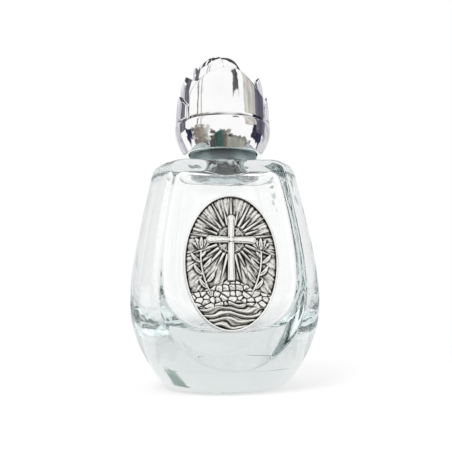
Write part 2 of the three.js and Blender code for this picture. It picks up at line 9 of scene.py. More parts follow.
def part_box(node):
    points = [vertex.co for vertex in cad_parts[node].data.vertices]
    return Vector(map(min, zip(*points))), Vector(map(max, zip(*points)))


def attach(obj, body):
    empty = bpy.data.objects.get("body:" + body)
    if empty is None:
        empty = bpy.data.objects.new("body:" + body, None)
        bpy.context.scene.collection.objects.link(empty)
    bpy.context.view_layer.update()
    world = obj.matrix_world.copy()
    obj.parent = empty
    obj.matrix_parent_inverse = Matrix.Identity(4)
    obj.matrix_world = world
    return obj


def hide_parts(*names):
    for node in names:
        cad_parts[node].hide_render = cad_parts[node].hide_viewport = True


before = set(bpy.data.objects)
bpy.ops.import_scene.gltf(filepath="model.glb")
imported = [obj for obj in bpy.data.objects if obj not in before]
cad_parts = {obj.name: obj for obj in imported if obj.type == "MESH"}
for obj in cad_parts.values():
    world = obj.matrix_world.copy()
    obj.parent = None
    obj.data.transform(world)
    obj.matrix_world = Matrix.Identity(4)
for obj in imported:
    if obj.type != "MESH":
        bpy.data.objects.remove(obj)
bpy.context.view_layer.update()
mm = 0.001
tau = 2 * math.pi
print("frame loaded:", sorted(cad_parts))


# Small tools for objects and node materials
def addObject(name, data):
    thing = bpy.data.objects.new(name, data)
    bpy.context.scene.collection.objects.link(thing)
    return thing


def addMesh(name, verts, faces, material):
    data = bpy.data.meshes.new(name)
    data.from_pydata(verts, [], faces)
    data.materials.append(material)
    return addObject(name, data)


def setValues(piece, name, values, kind="FLOAT", field="value"):
    piece.data.attributes.new(name, kind, "POINT").data.foreach_set(field, np.ravel(values))


def newMaterial(name):
    material = bpy.data.materials.new(name)
    material.use_nodes = True
    material.node_tree.nodes.clear()
    return material, material.node_tree


def addNode(tree, kind, inputs=None, **settings):
    node = tree.nodes.new(kind)
    for key, value in settings.items():
        setattr(node, key, value)
    for key, value in (inputs or {}).items():
        if isinstance(value, bpy.types.NodeSocket):
            tree.links.new(value, node.inputs[key])
        else:
            node.inputs[key].default_value = value
    return node


def addMath(tree, operation, *values):
    return addNode(tree, "ShaderNodeMath", dict(enumerate(values)), operation=operation).outputs[0]


def addMix(tree, factor, first, second):
    return addNode(tree, "ShaderNodeMixShader", {0: factor, 1: first, 2: second}).outputs[0]


def addRange(tree, value, source, target):
    ends = {"From Min": source[0], "From Max": source[1], "To Min": target[0], "To Max": target[1]}
    return addNode(tree, "ShaderNodeMapRange", {"Value": value, **ends}).outputs["Result"]


def addRamp(tree, factor, stops):
    node = addNode(tree, "ShaderNodeValToRGB", {"Fac": factor})
    ramp = node.color_ramp
    while len(ramp.elements) < len(stops):
        ramp.elements.new(0.5)
    for element, (place, tone) in zip(ramp.elements, stops):
        element.position = place
        element.color = (*tone, 1)
    return node.outputs["Color"]


def addBump(tree, height, strength, distance):
    settings = {"Strength": strength, "Distance": distance, "Height": height}
    return addNode(tree, "ShaderNodeBump", settings).outputs["Normal"]


def addNoise(tree, place, scale, detail, roughness=0.5):
    settings = {"Vector": place, "Scale": scale, "Detail": detail, "Roughness": roughness}
    return addNode(tree, "ShaderNodeTexNoise", settings).outputs["Fac"]


def objectNoise(tree, *sizes):
    return addNoise(tree, addNode(tree, "ShaderNodeTexCoord").outputs["Object"], *sizes)


def addSurface(tree, shader, volume=None):
    # Ends a material with its shader, and with its volume where it has one
    out = tree.nodes.new("ShaderNodeOutputMaterial")
    tree.links.new(shader, out.inputs["Surface"])
    if volume:
        tree.links.new(volume, out.inputs["Volume"])


def addShell(tree, settings, volume=None):
    addSurface(tree, addNode(tree, "ShaderNodeBsdfPrincipled", settings).outputs[0], volume)


# Camera: low and close in front of the bottle, a little to its left, tipped up
camera = {
    "distance": 150.0,
    "height": 20.0,
    "azimuth": -7.0,
    "pitch": 5.961,
    "yaw": 0.18,
    "roll": 0.76,
    "lens": 53.13,
    "sensor": 36.0,
    "clip": (0.01, 20),
}


def makeCamera():
    data = bpy.data.cameras.new("photoCamera")
    data.lens = camera["lens"]
    data.sensor_width = camera["sensor"]
    data.clip_start, data.clip_end = camera["clip"]
    eye = addObject("photoCamera", data)
    turn = math.radians(camera["azimuth"])
    reach = camera["distance"] * mm
    eye.location = (math.sin(turn) * reach, -math.cos(turn) * reach, camera["height"] * mm)
    aim = Matrix.Rotation(turn - math.radians(camera["yaw"]), 4, "Z")
    tip = Matrix.Rotation(math.radians(90 + camera["pitch"]), 4, "X")
    lean = Matrix.Rotation(-math.radians(camera["roll"]), 4, "Z")
    eye.rotation_mode = "QUATERNION"
    eye.rotation_quaternion = (aim @ tip @ lean).to_quaternion()
    bpy.context.scene.camera = eye


makeCamera()
print("camera placed")


# Stage, in metres: white sweep that keeps a soft contact shadow, even light, panels seen only in reflections
stage = {
    "floorHalf": 4.0,
    "floorTone": 0.92,
    "shadowShare": 0.4,
    "shadowSpan": (0.04, 0.12),
    "worldLight": 0.85,
    "keyPower": 1.6,
    "keySize": 0.25,
    "keyPlace": (-0.22, -0.30, 0.38),
    "fillPower": 0.7,
    "fillSize": 0.35,
    "fillPlace": (0.38, -0.22, 0.22),
    "lampAim": 0.035,
    "cardReach": 0.9,
    "cardMiddle": 0.06,
    "cardCell": 1.5,
    "cardStep": 0.002,
    "glassStep": 0.01,
    "cardClear": 0.001,
    "cardLift": 0.02,
}

# How a card's border is torn and its tone patched, by noise of a scale and detail over its face
torn = {
    "degrees": 10,
    "apart": 50,
    "border": (0.9, 2.5),
    "swing": 2.4,
    "cover": (0.2, 0.6),
    "whole": 3,
    "patches": (1.1, 1.0),
    "patchRange": (0.3, 0.7),
    "patchTones": (0.75, 1.3),
}

# Cards seen only in the metal: left and right azimuth and low and high height, in degrees from the camera's
# side, how many degrees of the border are torn, and the tones from left to right
metalCards = [
    ((85, 121), (-8, 44), 3, [(0.15, 0.14, 0.18), (0.09, 0.085, 0.12), (0.20, 0.19, 0.24)]),
    ((72, 112), (-27, 8), 6, [(0.04, 0.04, 0.07), (0.02, 0.02, 0.05)]),
    ((-100, -76), (-28, 6), 7, [(0.05, 0.05, 0.09), (0.015, 0.02, 0.05)]),
    ((-122, -97), (2, 50), 4, [(0.09, 0.085, 0.11), (0.18, 0.17, 0.20), (0.08, 0.075, 0.10)]),
    ((53, 85), (3, 45), 1, [(0.62, 0.61, 0.57), (0.60, 0.58, 0.54), (0.45, 0.44, 0.42)]),
    ((-63, -59), (4, 52), 0, [(0.30, 0.29, 0.28)]),
    ((-53.5, -49.5), (4, 52), 0, [(0.55, 0.54, 0.52)]),
    ((25, 42), (20, 46), 6, [(0.16, 0.16, 0.17), (0.05, 0.05, 0.06)]),
    ((-32, 22), (-66, -10), 14,
     [(0.22, 0.20, 0.17), (0.04, 0.07, 0.06), (0.05, 0.12, 0.11), (0.20, 0.17, 0.14), (0.5, 0.47, 0.42)]),
    ((-82, -30), (-46, 6), 12,
     [(0.10, 0.08, 0.08), (0.26, 0.22, 0.19), (0.32, 0.31, 0.27), (0.60, 0.60, 0.55)]),
    ((4, 68), (-70, -30), 12, [(0.24, 0.24, 0.20), (0.33, 0.34, 0.29)]),
    ((112, 160), (-62, 26), 0, [(0.52, 0.51, 0.54), (0.72, 0.72, 0.75)]),
    ((-160, -118), (-62, 26), 0, [(0.72, 0.72, 0.75), (0.52, 0.51, 0.54)]),
    ((-84, 84), (-70, -26), 9,
     [(0.34, 0.32, 0.30), (0.10, 0.10, 0.10), (0.012, 0.02, 0.025), (0.12, 0.12, 0.11), (0.34, 0.36, 0.33)]),
    ((118, 242), (28, 66), 0, [(0.07, 0.07, 0.08)]),
]

# Cards seen only through the glass: a bright front, and a dark one behind that shows in the heel
glassCards = [
    ((-100, 100), (-35, 80), 0, [(1.7, 1.7, 1.7)]),
    ((149, 164), (9, 19), 5, [(0.22, 0.31, 0.27)]),
]


def seenDirectly(tree):
    # 1 where the camera looks, straight or by way of the chrome and the glass
    path = addNode(tree, "ShaderNodeLightPath").outputs
    both = addMath(tree, "MAXIMUM", path["Is Camera Ray"], path["Is Glossy Ray"])
    return addMath(tree, "MAXIMUM", both, path["Is Transmission Ray"])


def makeWorld():
    world = bpy.data.worlds.new("whiteRoom")
    bpy.context.scene.world = world
    world.use_nodes = True
    tree = world.node_tree
    tree.nodes.clear()
    dim, white = (
        addNode(tree, "ShaderNodeBackground", {"Color": (1, 1, 1, 1), "Strength": light}).outputs[0]
        for light in (stage["worldLight"], 1.0)
    )
    out = tree.nodes.new("ShaderNodeOutputWorld")
    tree.links.new(addMix(tree, seenDirectly(tree), dim, white), out.inputs["Surface"])


def floorMaterial():
    # Plain paint to the light, but glowing white to the eye, with a share of its real shadow near the bottle
    material, tree = newMaterial("whiteSweep")
    tone = stage["floorTone"]
    paint = addNode(tree, "ShaderNodeBsdfDiffuse", {"Color": (tone, tone, tone, 1)}).outputs[0]
    glow = addNode(tree, "ShaderNodeEmission", {"Color": (1, 1, 1, 1)}).outputs[0]
    place = addNode(tree, "ShaderNodeNewGeometry").outputs["Position"]
    length = addNode(tree, "ShaderNodeVectorMath", {0: place}, operation="LENGTH").outputs["Value"]
    near = addRange(tree, length, stage["shadowSpan"], (stage["shadowShare"], 0))
    addSurface(tree, addMix(tree, seenDirectly(tree), paint, addMix(tree, near, glow, paint)))
    return material


def cardMaterial():
    # Glow of the card's own tone in soft patches, eaten away by noise where its border is torn
    material, tree = newMaterial("cardGlow")
    tone = addNode(tree, "ShaderNodeAttribute", attribute_name="tone").outputs
    spot = addNode(tree, "ShaderNodeAttribute", attribute_name="spot").outputs["Vector"]
    swing = torn["swing"]
    wander = addMath(tree, "MULTIPLY_ADD", addNoise(tree, spot, *torn["border"]), swing, -swing / 2)
    mask = addRange(tree, addMath(tree, "ADD", tone["Alpha"], wander), torn["cover"], (0, 1))
    shade = addRange(tree, addNoise(tree, spot, *torn["patches"]), torn["patchRange"], torn["patchTones"])
    colour = addNode(tree, "ShaderNodeVectorMath", {0: tone["Color"], "Scale": shade}, operation="SCALE")
    glow = addNode(tree, "ShaderNodeEmission", {"Color": colour.outputs[0]}).outputs[0]
    clear = addNode(tree, "ShaderNodeBsdfTransparent").outputs[0]
    addSurface(tree, addMix(tree, mask, clear, glow))
    return material


def makeCard(name, card, material, reach):
    # A curved card round the bottle that bends flat onto the floor, its tones blended from left to right
    (left, right), (low, high), ragged, tones = card
    cell = stage["cardCell"]
    across = np.linspace(left, right, max(4, int((right - left) / cell)))
    up = np.linspace(low, high, max(4, int((high - low) / cell)))
    stops = np.linspace(left, right, len(tones))
    blend = np.column_stack([np.interp(across, stops, part) for part in np.transpose(tones)])
    middle = stage["cardMiddle"]
    clear = stage["cardClear"] + (stage["cardReach"] - reach) * stage["cardLift"]  # nearer cards lie higher
    verts, colours, spots = [], [], []
    for azimuth, tone in zip(across, blend):
        turn = math.radians(azimuth + camera["azimuth"])
        for height in up:
            inside = min(azimuth - left, right - azimuth, height - low, high - height)
            cover = min(inside / ragged, 1) if ragged else torn["whole"]
            rise = math.radians(height)
            length = min(reach, (middle - clear) / math.sin(-rise)) if rise < 0 else reach
            flat = math.cos(rise) * length
            verts.append((math.sin(turn) * flat, -math.cos(turn) * flat, middle + math.sin(rise) * length))
            colours.append((*tone, cover))
            spots.append((azimuth / torn["degrees"], height / torn["degrees"], reach * torn["apart"]))
    rows, last = len(up), len(verts) - len(up)
    faces = [(k, k + rows, k + rows + 1, k + 1) for k in range(last) if (k + 1) % rows]
    piece = addMesh(name, verts, faces, material)
    setValues(piece, "tone", colours, "FLOAT_COLOR", "color")
    setValues(piece, "spot", spots, "FLOAT_VECTOR", "vector")
    piece.visible_camera = False
    piece.visible_diffuse = False
    piece.visible_shadow = False
    return piece


def makeStage():
    makeWorld()
    half = stage["floorHalf"]
    corners = [(-half, -half, 0), (half, -half, 0), (half, half, 0), (-half, half, 0)]
    floor = addMesh("floor", corners, [(0, 1, 2, 3)], floorMaterial())
    middle = Vector((0, 0, stage["lampAim"]))
    for name in ("key", "fill"):
        lamp = bpy.data.lights.new(name + "Lamp", "AREA")
        lamp.energy = stage[name + "Power"]
        lamp.size = stage[name + "Size"]
        holder = addObject(name + "Lamp", lamp)
        holder.location = stage[name + "Place"]
        holder.rotation_mode = "QUATERNION"
        holder.rotation_quaternion = (middle - holder.location).to_track_quat("-Z", "Y")
        holder.visible_glossy = False
        holder.visible_transmission = False
    material = cardMaterial()
    reach = stage["cardReach"]
    for i, card in enumerate(metalCards):
        makeCard(f"metalCard{i}", card, material, reach + i * stage["cardStep"]).visible_transmission = False
    for i, card in enumerate(glassCards):
        makeCard(f"glassCard{i}", card, material, reach - (i + 1) * stage["glassStep"]).visible_glossy = False


makeStage()
print("stage set")


# Tools for curves and meshes, in millimetres until the mesh is made
def bezier(a, b, c, d, count):
    t = np.linspace(0, 1, count)[:, None]
    a, b, c, d = (np.array(p, float) for p in (a, b, c, d))
    return a * (1 - t) ** 3 + 3 * b * t * (1 - t) ** 2 + 3 * c * t * t * (1 - t) + d * t**3


def bend(a, corner, b, count):
    a, corner, b = (np.array(p, float) for p in (a, corner, b))
    return bezier(a, a + (corner - a) * 2 / 3, b + (corner - b) * 2 / 3, b, count)


def chain(*stretches):
    # One path out of stretches and single points, with no point twice where they meet
    path = np.empty((0, 2))
    for stretch in stretches:
        stretch = np.atleast_2d(np.array(stretch, float))
        if len(path) and np.allclose(path[-1], stretch[0]):
            stretch = stretch[1:]
        path = np.vstack([path, stretch])
    return path


def rounded(*corners):
    # A path through corners of (x, y) or (x, y, radius); a radius rounds its corner off
    points = np.array([corner[:2] for corner in corners], float)
    path = [points[0]]
    for before, point, after, corner in zip(points, points[1:], points[2:], corners[1:]):
        ends = [side - point for side in (before, after)]
        ends = [point + corner[2] * end / np.hypot(*end) for end in ends if len(corner) > 2]
        path.append(bend(ends[0], point, ends[1], 8) if ends else point)
    return chain(*path, points[-1])


def cumulate(weight, places):
    return np.concatenate([[0], np.cumsum((weight[1:] + weight[:-1]) / 2 * np.diff(places))])


def respace(path, step, finer=()):
    # Points along a path every step, closer where finer gives (place, reach, times)
    along = np.concatenate([[0], np.cumsum(np.hypot(*np.diff(path, axis=0).T))])
    fine = np.linspace(0, along[-1], 4000)
    spots = np.column_stack([np.interp(fine, along, part) for part in path.T])
    weight = np.ones(len(fine))
    for place, reach, times in finer:
        away = np.hypot(*(spots - np.array(place)).T)
        weight += (times - 1) * np.exp(-((away / reach) ** 2))
    share = cumulate(weight, fine)
    count = max(2, int(share[-1] / step))
    picked = np.interp(np.linspace(0, share[-1], count + 1), share, fine)
    return np.column_stack([np.interp(picked, along, part) for part in path.T])


def smooth(value):
    value = np.clip(value, 0, 1)
    return value * value * (3 - 2 * value)


def blendCells(table, i, j, u, v):
    low = table[i, j] * (1 - u) + table[i + 1, j] * u
    return low * (1 - v) + (table[i, j + 1] * (1 - u) + table[i + 1, j + 1] * u) * v


def latticeNoise(x, y, seed):
    # Soft value noise, 0 to 1, one bump a unit
    table = np.pad(np.random.default_rng(seed).random((64, 64)), (0, 1), mode="wrap")
    i, j = np.floor(x).astype(int), np.floor(y).astype(int)
    return blendCells(table, i % 64, j % 64, smooth(x - i), smooth(y - j))


def makeMesh(name, verts, faces, material):
    # A smooth-shaded mesh from places in millimetres
    piece = addMesh(name, (np.asarray(verts) * mm).tolist(), faces, material)
    piece.data.polygons.foreach_set("use_smooth", [True] * len(faces))
    piece.data.update()
    return piece


def ringFaces(rows, columns, first=0):
    # Quads of a grid of rings, each ring closed on itself
    low = first + np.arange((rows - 1) * columns).reshape(-1, columns)
    after = np.roll(low, -1, 1)
    return np.stack([low, after, after + columns, low + columns], -1).reshape(-1, 4).tolist()


def bottomFace(columns):
    return tuple(range(columns - 1, -1, -1))


def turnPath(path, columns):
    # Angles, heights and radii of a path turned round the axis
    turns, heights = np.meshgrid(np.linspace(0, tau, columns, endpoint=False), path[:, 1])
    return turns, heights, np.repeat(path[:, :1], columns, 1)


def ringPoints(turns, heights, radii):
    return np.stack([radii * np.cos(turns), radii * np.sin(turns), heights], -1)


def spin(name, path, columns, material):
    # A closed body of revolution from a path of radius and height that starts and ends on the axis
    grid = ringPoints(*turnPath(path[1:-1], columns))
    return closeGrid(name, grid, path[0], path[-1], material)


def closeGrid(name, grid, start, end, material):
    rows, columns = grid.shape[:2]
    verts = np.vstack([[[0, 0, start[1]]], grid.reshape(-1, 3), [[0, 0, end[1]]]])
    faces = ringFaces(rows, columns, 1)
    last = len(verts) - 1
    top = 1 + (rows - 1) * columns
    for j in range(columns):
        k = (j + 1) % columns
        faces.append((0, 1 + k, 1 + j))
        faces.append((last, top + j, top + k))
    return makeMesh(name, verts, faces, material)


# Glass: thick round body cut by two sloping flats, flat shoulder, threaded neck, deep floor
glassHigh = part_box("glass_bottle")[1]
glass = {
    "belly": glassHigh.x / mm,
    "bellyHeight": 18.8,
    "base": 10.5,
    "pushUp": 8.5,
    "pushUpEdge": ((-2.2, 0.5), (-0.6, 0.5), (0.2, 0.03), (0.5, 0), (0.9, 0)),
    "heel": (14.3, 1.8),
    "heelLean": 51,
    "heelPull": 0.41,
    "bellyPull": (0.32, 0.26),
    "flankPull": 0.42,
    "shoulder": 15.75,
    "shoulderHeight": 49.0,
    "shoulderRound": 2.5,
    "flankLean": 12.7,
    "panelFoot": 17.2,
    "panelLean": 7.3,
    "panelMiddle": 25.0,
    "panelEdge": 0.5,
    "panelTop": 2.4,
    "panelTopFoot": 44.0,
    "crowding": ((9, 0.03), (3, 0.10)),
    "smile": (16.8, 5.4),
    "floor": 12.0,
    "floorCorner": 4.8,
    "floorFlat": 9.0,
    "floorPull": 4.5,
    "bellyWall": 4.4,
    "shoulderWall": 3.0,
    "panelWall": 3.0,
    "roofWall": 2.5,
    "cavityCorner": 2.2,
    "hollowMiddle": 28.0,
    "hollowEdge": 5.0,
    "collar": 7.6,
    "collarHeight": 3.2,
    "collarRound": 0.6,
    # Painted shade: the collar's darker grey-teal colour stands in for the shade under the cap; its roughness
    # frosts it
    "collarShade": (0.47, 0.60, 0.60),
    "collarRoughness": 0.36,
    "collarEdge": 0.1,
    "fillet": 0.6,
    "neck": 5.75,
    "neckFillet": 0.3,
    "lip": glassHigh.z / mm,
    "lipRound": 0.6,
    "bore": 3.5,
    "boreRound": 0.4,
    "flare": 3.8,
    "tint": (0.47, 0.55, 0.545),
    "density": 20.0,
    "columns": 56,
    "rowStep": 0.3,
    "neckStep": 0.16,
}

# Waves, puckers and dimples that the blowing leaves, each between two heights and with the lengths they fade
# over, and the mould's grains, outward from a radius and up to a height, with their fades
waves = {
    "size": 3.4,
    "push": 0.05,
    "roofPush": 0.16,
    "roof": (43, 51, 3, 2),
    "pucker": 0.4,
    "puckers": (45.5, 51.5, 1.5, 1.5),
    "dimple": 0.16,
    "dimpleSize": 1.3,
    "dimples": (46, 49.6, 1.2, 0.6),
    "grain": 0.12,
    "grains": (8.8, 0.8),
    "grainTop": (2.6, 1.2),
}

thread = {
    "pitch": 2.117,
    "turns": 1.75,
    "start": 53.8,
    "depth": 0.75,
    "rootWidth": 1.1,
    "crestWidth": 0.5,
    "runOut": 0.12,
}


def smoothMin(a, b, reach):
    blend = np.maximum(reach - np.abs(a - b), 0) / reach
    return np.minimum(a, b) - blend * blend * reach / 4


def band(z, low, high, inward, outward):
    # 1 between two heights, fading in and out over a length at either end
    return smooth((z - low) / inward) * smooth((high - z) / outward)


def quadrantAngles(crossing, sharpness, columns):
    # Angles from the side to the front, crowded round the edge of the flat panel
    fine = np.linspace(0, math.pi / 2, 600)
    weight = np.ones(len(fine))
    for times, reach in glass["crowding"]:
        weight += times * sharpness * np.exp(-(((fine - crossing) / reach) ** 2))
    share = cumulate(weight, fine)
    return np.interp(np.linspace(0, share[-1], columns + 1), share, fine)


def flattenRows(path, middle, wall, edges, columns):
    # Rings of a turned path, cut back by the front and back planes with rounded edges
    lean = math.radians(glass["panelLean"])
    slope = np.array([math.cos(lean), math.sin(lean)])
    reach = glass["panelFoot"] * slope[0] - wall - middle * slope[1]
    rings = []
    for (radius, height), edge in zip(path, edges):
        up = height - middle
        crossing = (reach - slope[1] * up) / max(slope[0] * radius, 1e-6)
        sharpness = math.exp(-((max(crossing - 1, 0) / 0.06) ** 2)) if crossing > 0 else 0
        quarter = quadrantAngles(math.asin(min(max(crossing, 0), 1)), sharpness, columns)
        turn = np.concatenate([quarter[:-1], math.pi - quarter[:0:-1]])
        turn = np.concatenate([turn, turn + math.pi])
        length = math.hypot(radius, up)
        facing = slope[0] * radius * np.abs(np.sin(turn)) + slope[1] * up
        plane = np.where(facing > 1e-6, reach / np.maximum(facing, 1e-6), 1e3) * length
        scale = smoothMin(np.full(len(turn), length), np.minimum(plane, length + 50), edge) / length
        ring = [radius * np.cos(turn) * scale, radius * np.sin(turn) * scale, middle + up * scale]
        rings.append(np.stack(ring, -1))
    return np.array(rings)


def threadRise(turn, height, start, turns):
    # How far the screw ridge stands out, 0 to 1, at angles and heights of a grid
    rise = np.zeros_like(turn)
    for lap in range(int(turns) + 2):
        travelled = turn / tau + lap
        off = np.abs(height - start - thread["pitch"] * travelled)
        flank = (thread["rootWidth"] / 2 - off) / (thread["rootWidth"] - thread["crestWidth"]) * 2
        ends = np.minimum(travelled, turns - travelled) / thread["runOut"]
        rise = np.maximum(rise, np.clip(flank, 0, 1) * np.clip(ends, 0, 1))
    return smooth(rise)


def bodyPath():
    g = glass
    lean, flank = math.radians(g["heelLean"]), math.radians(g["flankLean"])
    heel, belly = np.array(g["heel"]), np.array([g["belly"], g["bellyHeight"]])
    flat, level = g["shoulder"] - g["shoulderRound"], g["shoulderHeight"]
    top = np.array([g["shoulder"] + g["shoulderRound"] * math.tan(flank), level - g["shoulderRound"]])
    lower, upper = belly[1] - heel[1], top[1] - belly[1]
    edge = [(g["pushUp"] + across, up) for across, up in g["pushUpEdge"]]
    below, above = g["bellyPull"]
    return chain(
        (0, edge[0][1]),
        bend(*edge[:3], 8),
        bend(*edge[2:], 4),
        bend((g["base"] - 0.6, 0), (heel[0] - heel[1] / math.tan(lean), 0), heel, 20),
        bezier(heel, heel + g["heelPull"] * lower * np.array([math.cos(lean), math.sin(lean)]),
               belly - (0, below * lower), belly, 60),
        bezier(belly, belly + (0, above * upper),
               top + g["flankPull"] * upper * np.array([math.sin(flank), -math.cos(flank)]), top, 80),
        bend(top, (g["shoulder"], level), (flat, level), 20),
        (g["collar"] + g["fillet"], level),
    )


def neckPath():
    g = glass
    level, top = g["shoulderHeight"], g["lip"]
    collarTop = level + g["collarHeight"]
    return rounded(
        (g["collar"] + g["fillet"], level),
        (g["collar"], level, g["fillet"]),
        (g["collar"], collarTop, g["collarRound"]),
        (g["neck"], collarTop, g["neckFillet"]),
        (g["neck"], top, g["lipRound"]),
        (g["bore"], top, g["boreRound"]),
        (g["bore"], level - g["roofWall"] + g["flare"]),
    )


def cavityPath():
    g = glass
    roof, corner = g["shoulderHeight"] - g["roofWall"], g["cavityCorner"]
    belly, bellyHeight = g["belly"] - g["bellyWall"], g["floor"] + 2 * g["floorCorner"]
    slope = math.tan(math.radians(g["flankLean"]))
    upper = np.array([g["shoulder"] - g["shoulderWall"] + corner * slope, roof - corner])
    rise = (upper[1] - bellyHeight) / 3
    return chain(
        bend((g["bore"], roof + g["flare"]), (g["bore"], roof), (g["bore"] + g["flare"], roof), 16),
        bend((upper[0] - corner, roof), (upper[0] - corner * slope, roof), upper, 16),
        bezier(upper, upper + (rise * slope, -rise), (belly, bellyHeight + rise), (belly, bellyHeight), 60),
        bezier((belly, bellyHeight), (belly, g["floor"] + g["floorCorner"]),
               (g["floorFlat"] + g["floorPull"], g["floor"]), (g["floorFlat"], g["floor"]), 60),
        (0, g["floor"]),
    )


def glassMaterial(name, colour, roughness):
    material, tree = newMaterial(name)
    settings = {
        "Base Color": (*colour, 1),
        "Roughness": roughness,
        "IOR": 1.52,
        "Transmission Weight": 1.0,
        "Normal": addBump(tree, objectNoise(tree, 90, 2), 0.25, 0.0004),
    }
    tint = {"Color": (*glass["tint"], 1), "Density": glass["density"]}
    addShell(tree, settings, addNode(tree, "ShaderNodeVolumeAbsorption", tint).outputs[0])
    return material


def unevenness(grid):
    # Slight waves on the inner face, strongest under the shoulder, and finer puckers round the flare
    x, y, z = (grid[..., k] / waves["size"] + 30 for k in range(3))
    wave = latticeNoise(x + 0.6 * z, y - 0.8 * z, 31) + 0.5 * latticeNoise(2.2 * (x - z), 2.2 * (y + z), 33)
    push = waves["push"] + waves["roofPush"] * band(grid[..., 2], *waves["roof"])
    fine = latticeNoise(2.9 * x + 1.4 * z, 2.9 * y - 1.4 * z, 37) - 0.5
    pucker = waves["pucker"] * fine * band(grid[..., 2], *waves["puckers"])
    return 1 + (push * (wave - 0.75) + pucker) / np.hypot(grid[..., 0], grid[..., 1])


def shoulderWaves(grid):
    # Soft dimples round the shoulder's outer edge
    x, y, z = (grid[..., k] / waves["dimpleSize"] + 60 for k in range(3))
    wave = latticeNoise(x + 0.5 * z, y - 0.5 * z, 35) - 0.5
    push = waves["dimple"] * wave * band(grid[..., 2], *waves["dimples"])
    return 1 + push / np.maximum(np.hypot(grid[..., 0], grid[..., 1]), 1)


def stippling(grid):
    # Small raised grains round the base, between the push-up and the heel
    x, y, z = (grid[..., k] for k in range(3))
    grain = latticeNoise(1.3 * x + 30, 1.3 * y + 30, 41) + 0.4 * latticeNoise(3 * x + 60, 3 * y + 60, 43)
    (inside, fade), (top, topFade) = waves["grains"], waves["grainTop"]
    where = smooth((np.hypot(x, y) - inside) / fade) * smooth((top - z) / topFade)
    return waves["grain"] * np.abs(grain - 0.7) * where


def makeGlass():
    g = glass
    columns, level = g["columns"], g["shoulderHeight"]
    # Rows lie closer at the panel's foot, on the shoulder and round the push-up
    finer = [(g["smile"], 1.6, 2.2), ((g["shoulder"] - 4, level), 3, 2.0), ((g["pushUp"], 0), 1.2, 2.5)]
    body = respace(bodyPath(), g["rowStep"], finer)
    start, body = body[0], body[1:]
    near = np.clip((body[:, 1] - g["panelTopFoot"]) / (level - g["panelTopFoot"]), 0, 1)
    edges = g["panelEdge"] + (g["panelTop"] - g["panelEdge"]) * near * near
    outside = flattenRows(body, g["panelMiddle"], 0.0, edges, columns)
    outside[..., 2] += stippling(outside)
    outside[..., :2] *= shoulderWaves(outside)[..., None]

    neck = respace(neckPath(), g["neckStep"])[1:]
    turns, heights, radii = turnPath(neck, 4 * columns)
    onFinish = (np.abs(radii - g["neck"]) < 0.01) & (heights > level + g["collarHeight"])
    radii += onFinish * thread["depth"] * threadRise(turns, heights, thread["start"], thread["turns"])
    finish = ringPoints(turns, heights, radii)

    hollow = respace(cavityPath(), g["rowStep"] * 1.1, [((15, 14), 3, 1.6), ((11, 47), 3, 1.8)])
    end, hollow = hollow[-1], hollow[1:-1]
    flatEdges = np.full(len(hollow), g["hollowEdge"])
    inside = flattenRows(hollow, g["hollowMiddle"], g["panelWall"], flatEdges, columns)
    inside[..., :2] *= unevenness(inside)[..., None]

    grid = np.concatenate([outside, finish, inside])
    bottle = closeGrid("glassBottle", grid, start, end, glassMaterial("clearGlass", (1, 1, 1), 0.0))
    # The collar's faces get a second glass whose colour holds the painted shade
    bottle.data.materials.append(glassMaterial("collarGlass", g["collarShade"], g["collarRoughness"]))
    under = level + g["collarHeight"] - g["collarEdge"]
    onCollar = (neck[:, 1] < under) & (neck[:, 0] > g["neck"] + g["fillet"])
    rows = len(outside) + np.flatnonzero(onCollar)
    slots = np.zeros(len(bottle.data.polygons), int)
    slots[rows[0] * 4 * columns : rows[-1] * 4 * columns] = 1
    bottle.data.polygons.foreach_set("material_index", slots)
    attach(bottle, "bottle")
    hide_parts("glass_bottle")
    print("glass made:", grid.shape)


makeGlass()


# Medal: an oval cast relief of a cross, rays, lilies, rocks and water, and the adhesive behind it
medal = {
    "half": (9.7, 14.05),
    "place": 26.6,
    "shift": -0.45,
    "turn": -1.5,
    "back": 0.45,
    "field": 1.25,
    "rim": 0.42,
    "rimRise": 0.35,
    "ditch": 0.03,
    "edge": 0.12,
    "raster": 0.05,
    "grid": (240, 346),
    "patinaReach": 0.3,
    "patinaDepth": 0.11,
    "patinaTone": 0.67,
    "backTone": 0.6,
}

cross = {
    "centre": 4.6,
    "foot": -5.2,
    "top": 9.0,
    "span": 4.3,
    "half": 0.72,
    "splay": 0.25,
    "border": (0.34, 0.07),
    "bud": 0.95,
    "rise": 0.4,
    "nimbus": 2.5,
    "nimbusHalf": 0.2,
    "beads": 40,
}

rays = {
    "count": 26,
    "start": 3.1,
    "reach": (8.6, 6.2),
    "half": 0.5,
    "rise": 0.26,
}

lily = {
    "foot": (4.1, -6.6),
    "bow": (6.6, -1.6),
    "top": (6.1, 2.6),
    "stem": 0.27,
    "leaf": (3.2, 0.55),
    "leaves": ((4, 38), (9, -34), (15, 40), (21, -38), (26, 44)),
    "bud": (31, -38, 1.9, 0.42),
    "petal": (3.1, 0.62),
    "petals": ((-52, 0.86), (50, 0.86), (-26, 0.97), (25, 0.97), (0, 1.0)),
    "rise": 0.34,
}

ground = {
    "top": -3.6,
    "drop": 2.8,
    "spread": 4.6,
    "water": -9.0,
    "rock": 1.35,
    "rise": 0.3,
    "wave": 1.15,
    "waveRise": 0.17,
}

bond = {
    "half": (8.1, 12.45),
    "foot": 0.1,
    "thickness": 0.25,
    "edge": 0.1,
    "grid": (40, 56),
}


def edgeDistance(x, y, half):
    # About how far inside an oval's edge each point lies
    share = np.hypot(x / half[0], y / half[1]) + 1e-6
    slope = np.hypot(x / half[0] ** 2, y / half[1] ** 2) / share + 1e-6
    return (1 - share) / slope


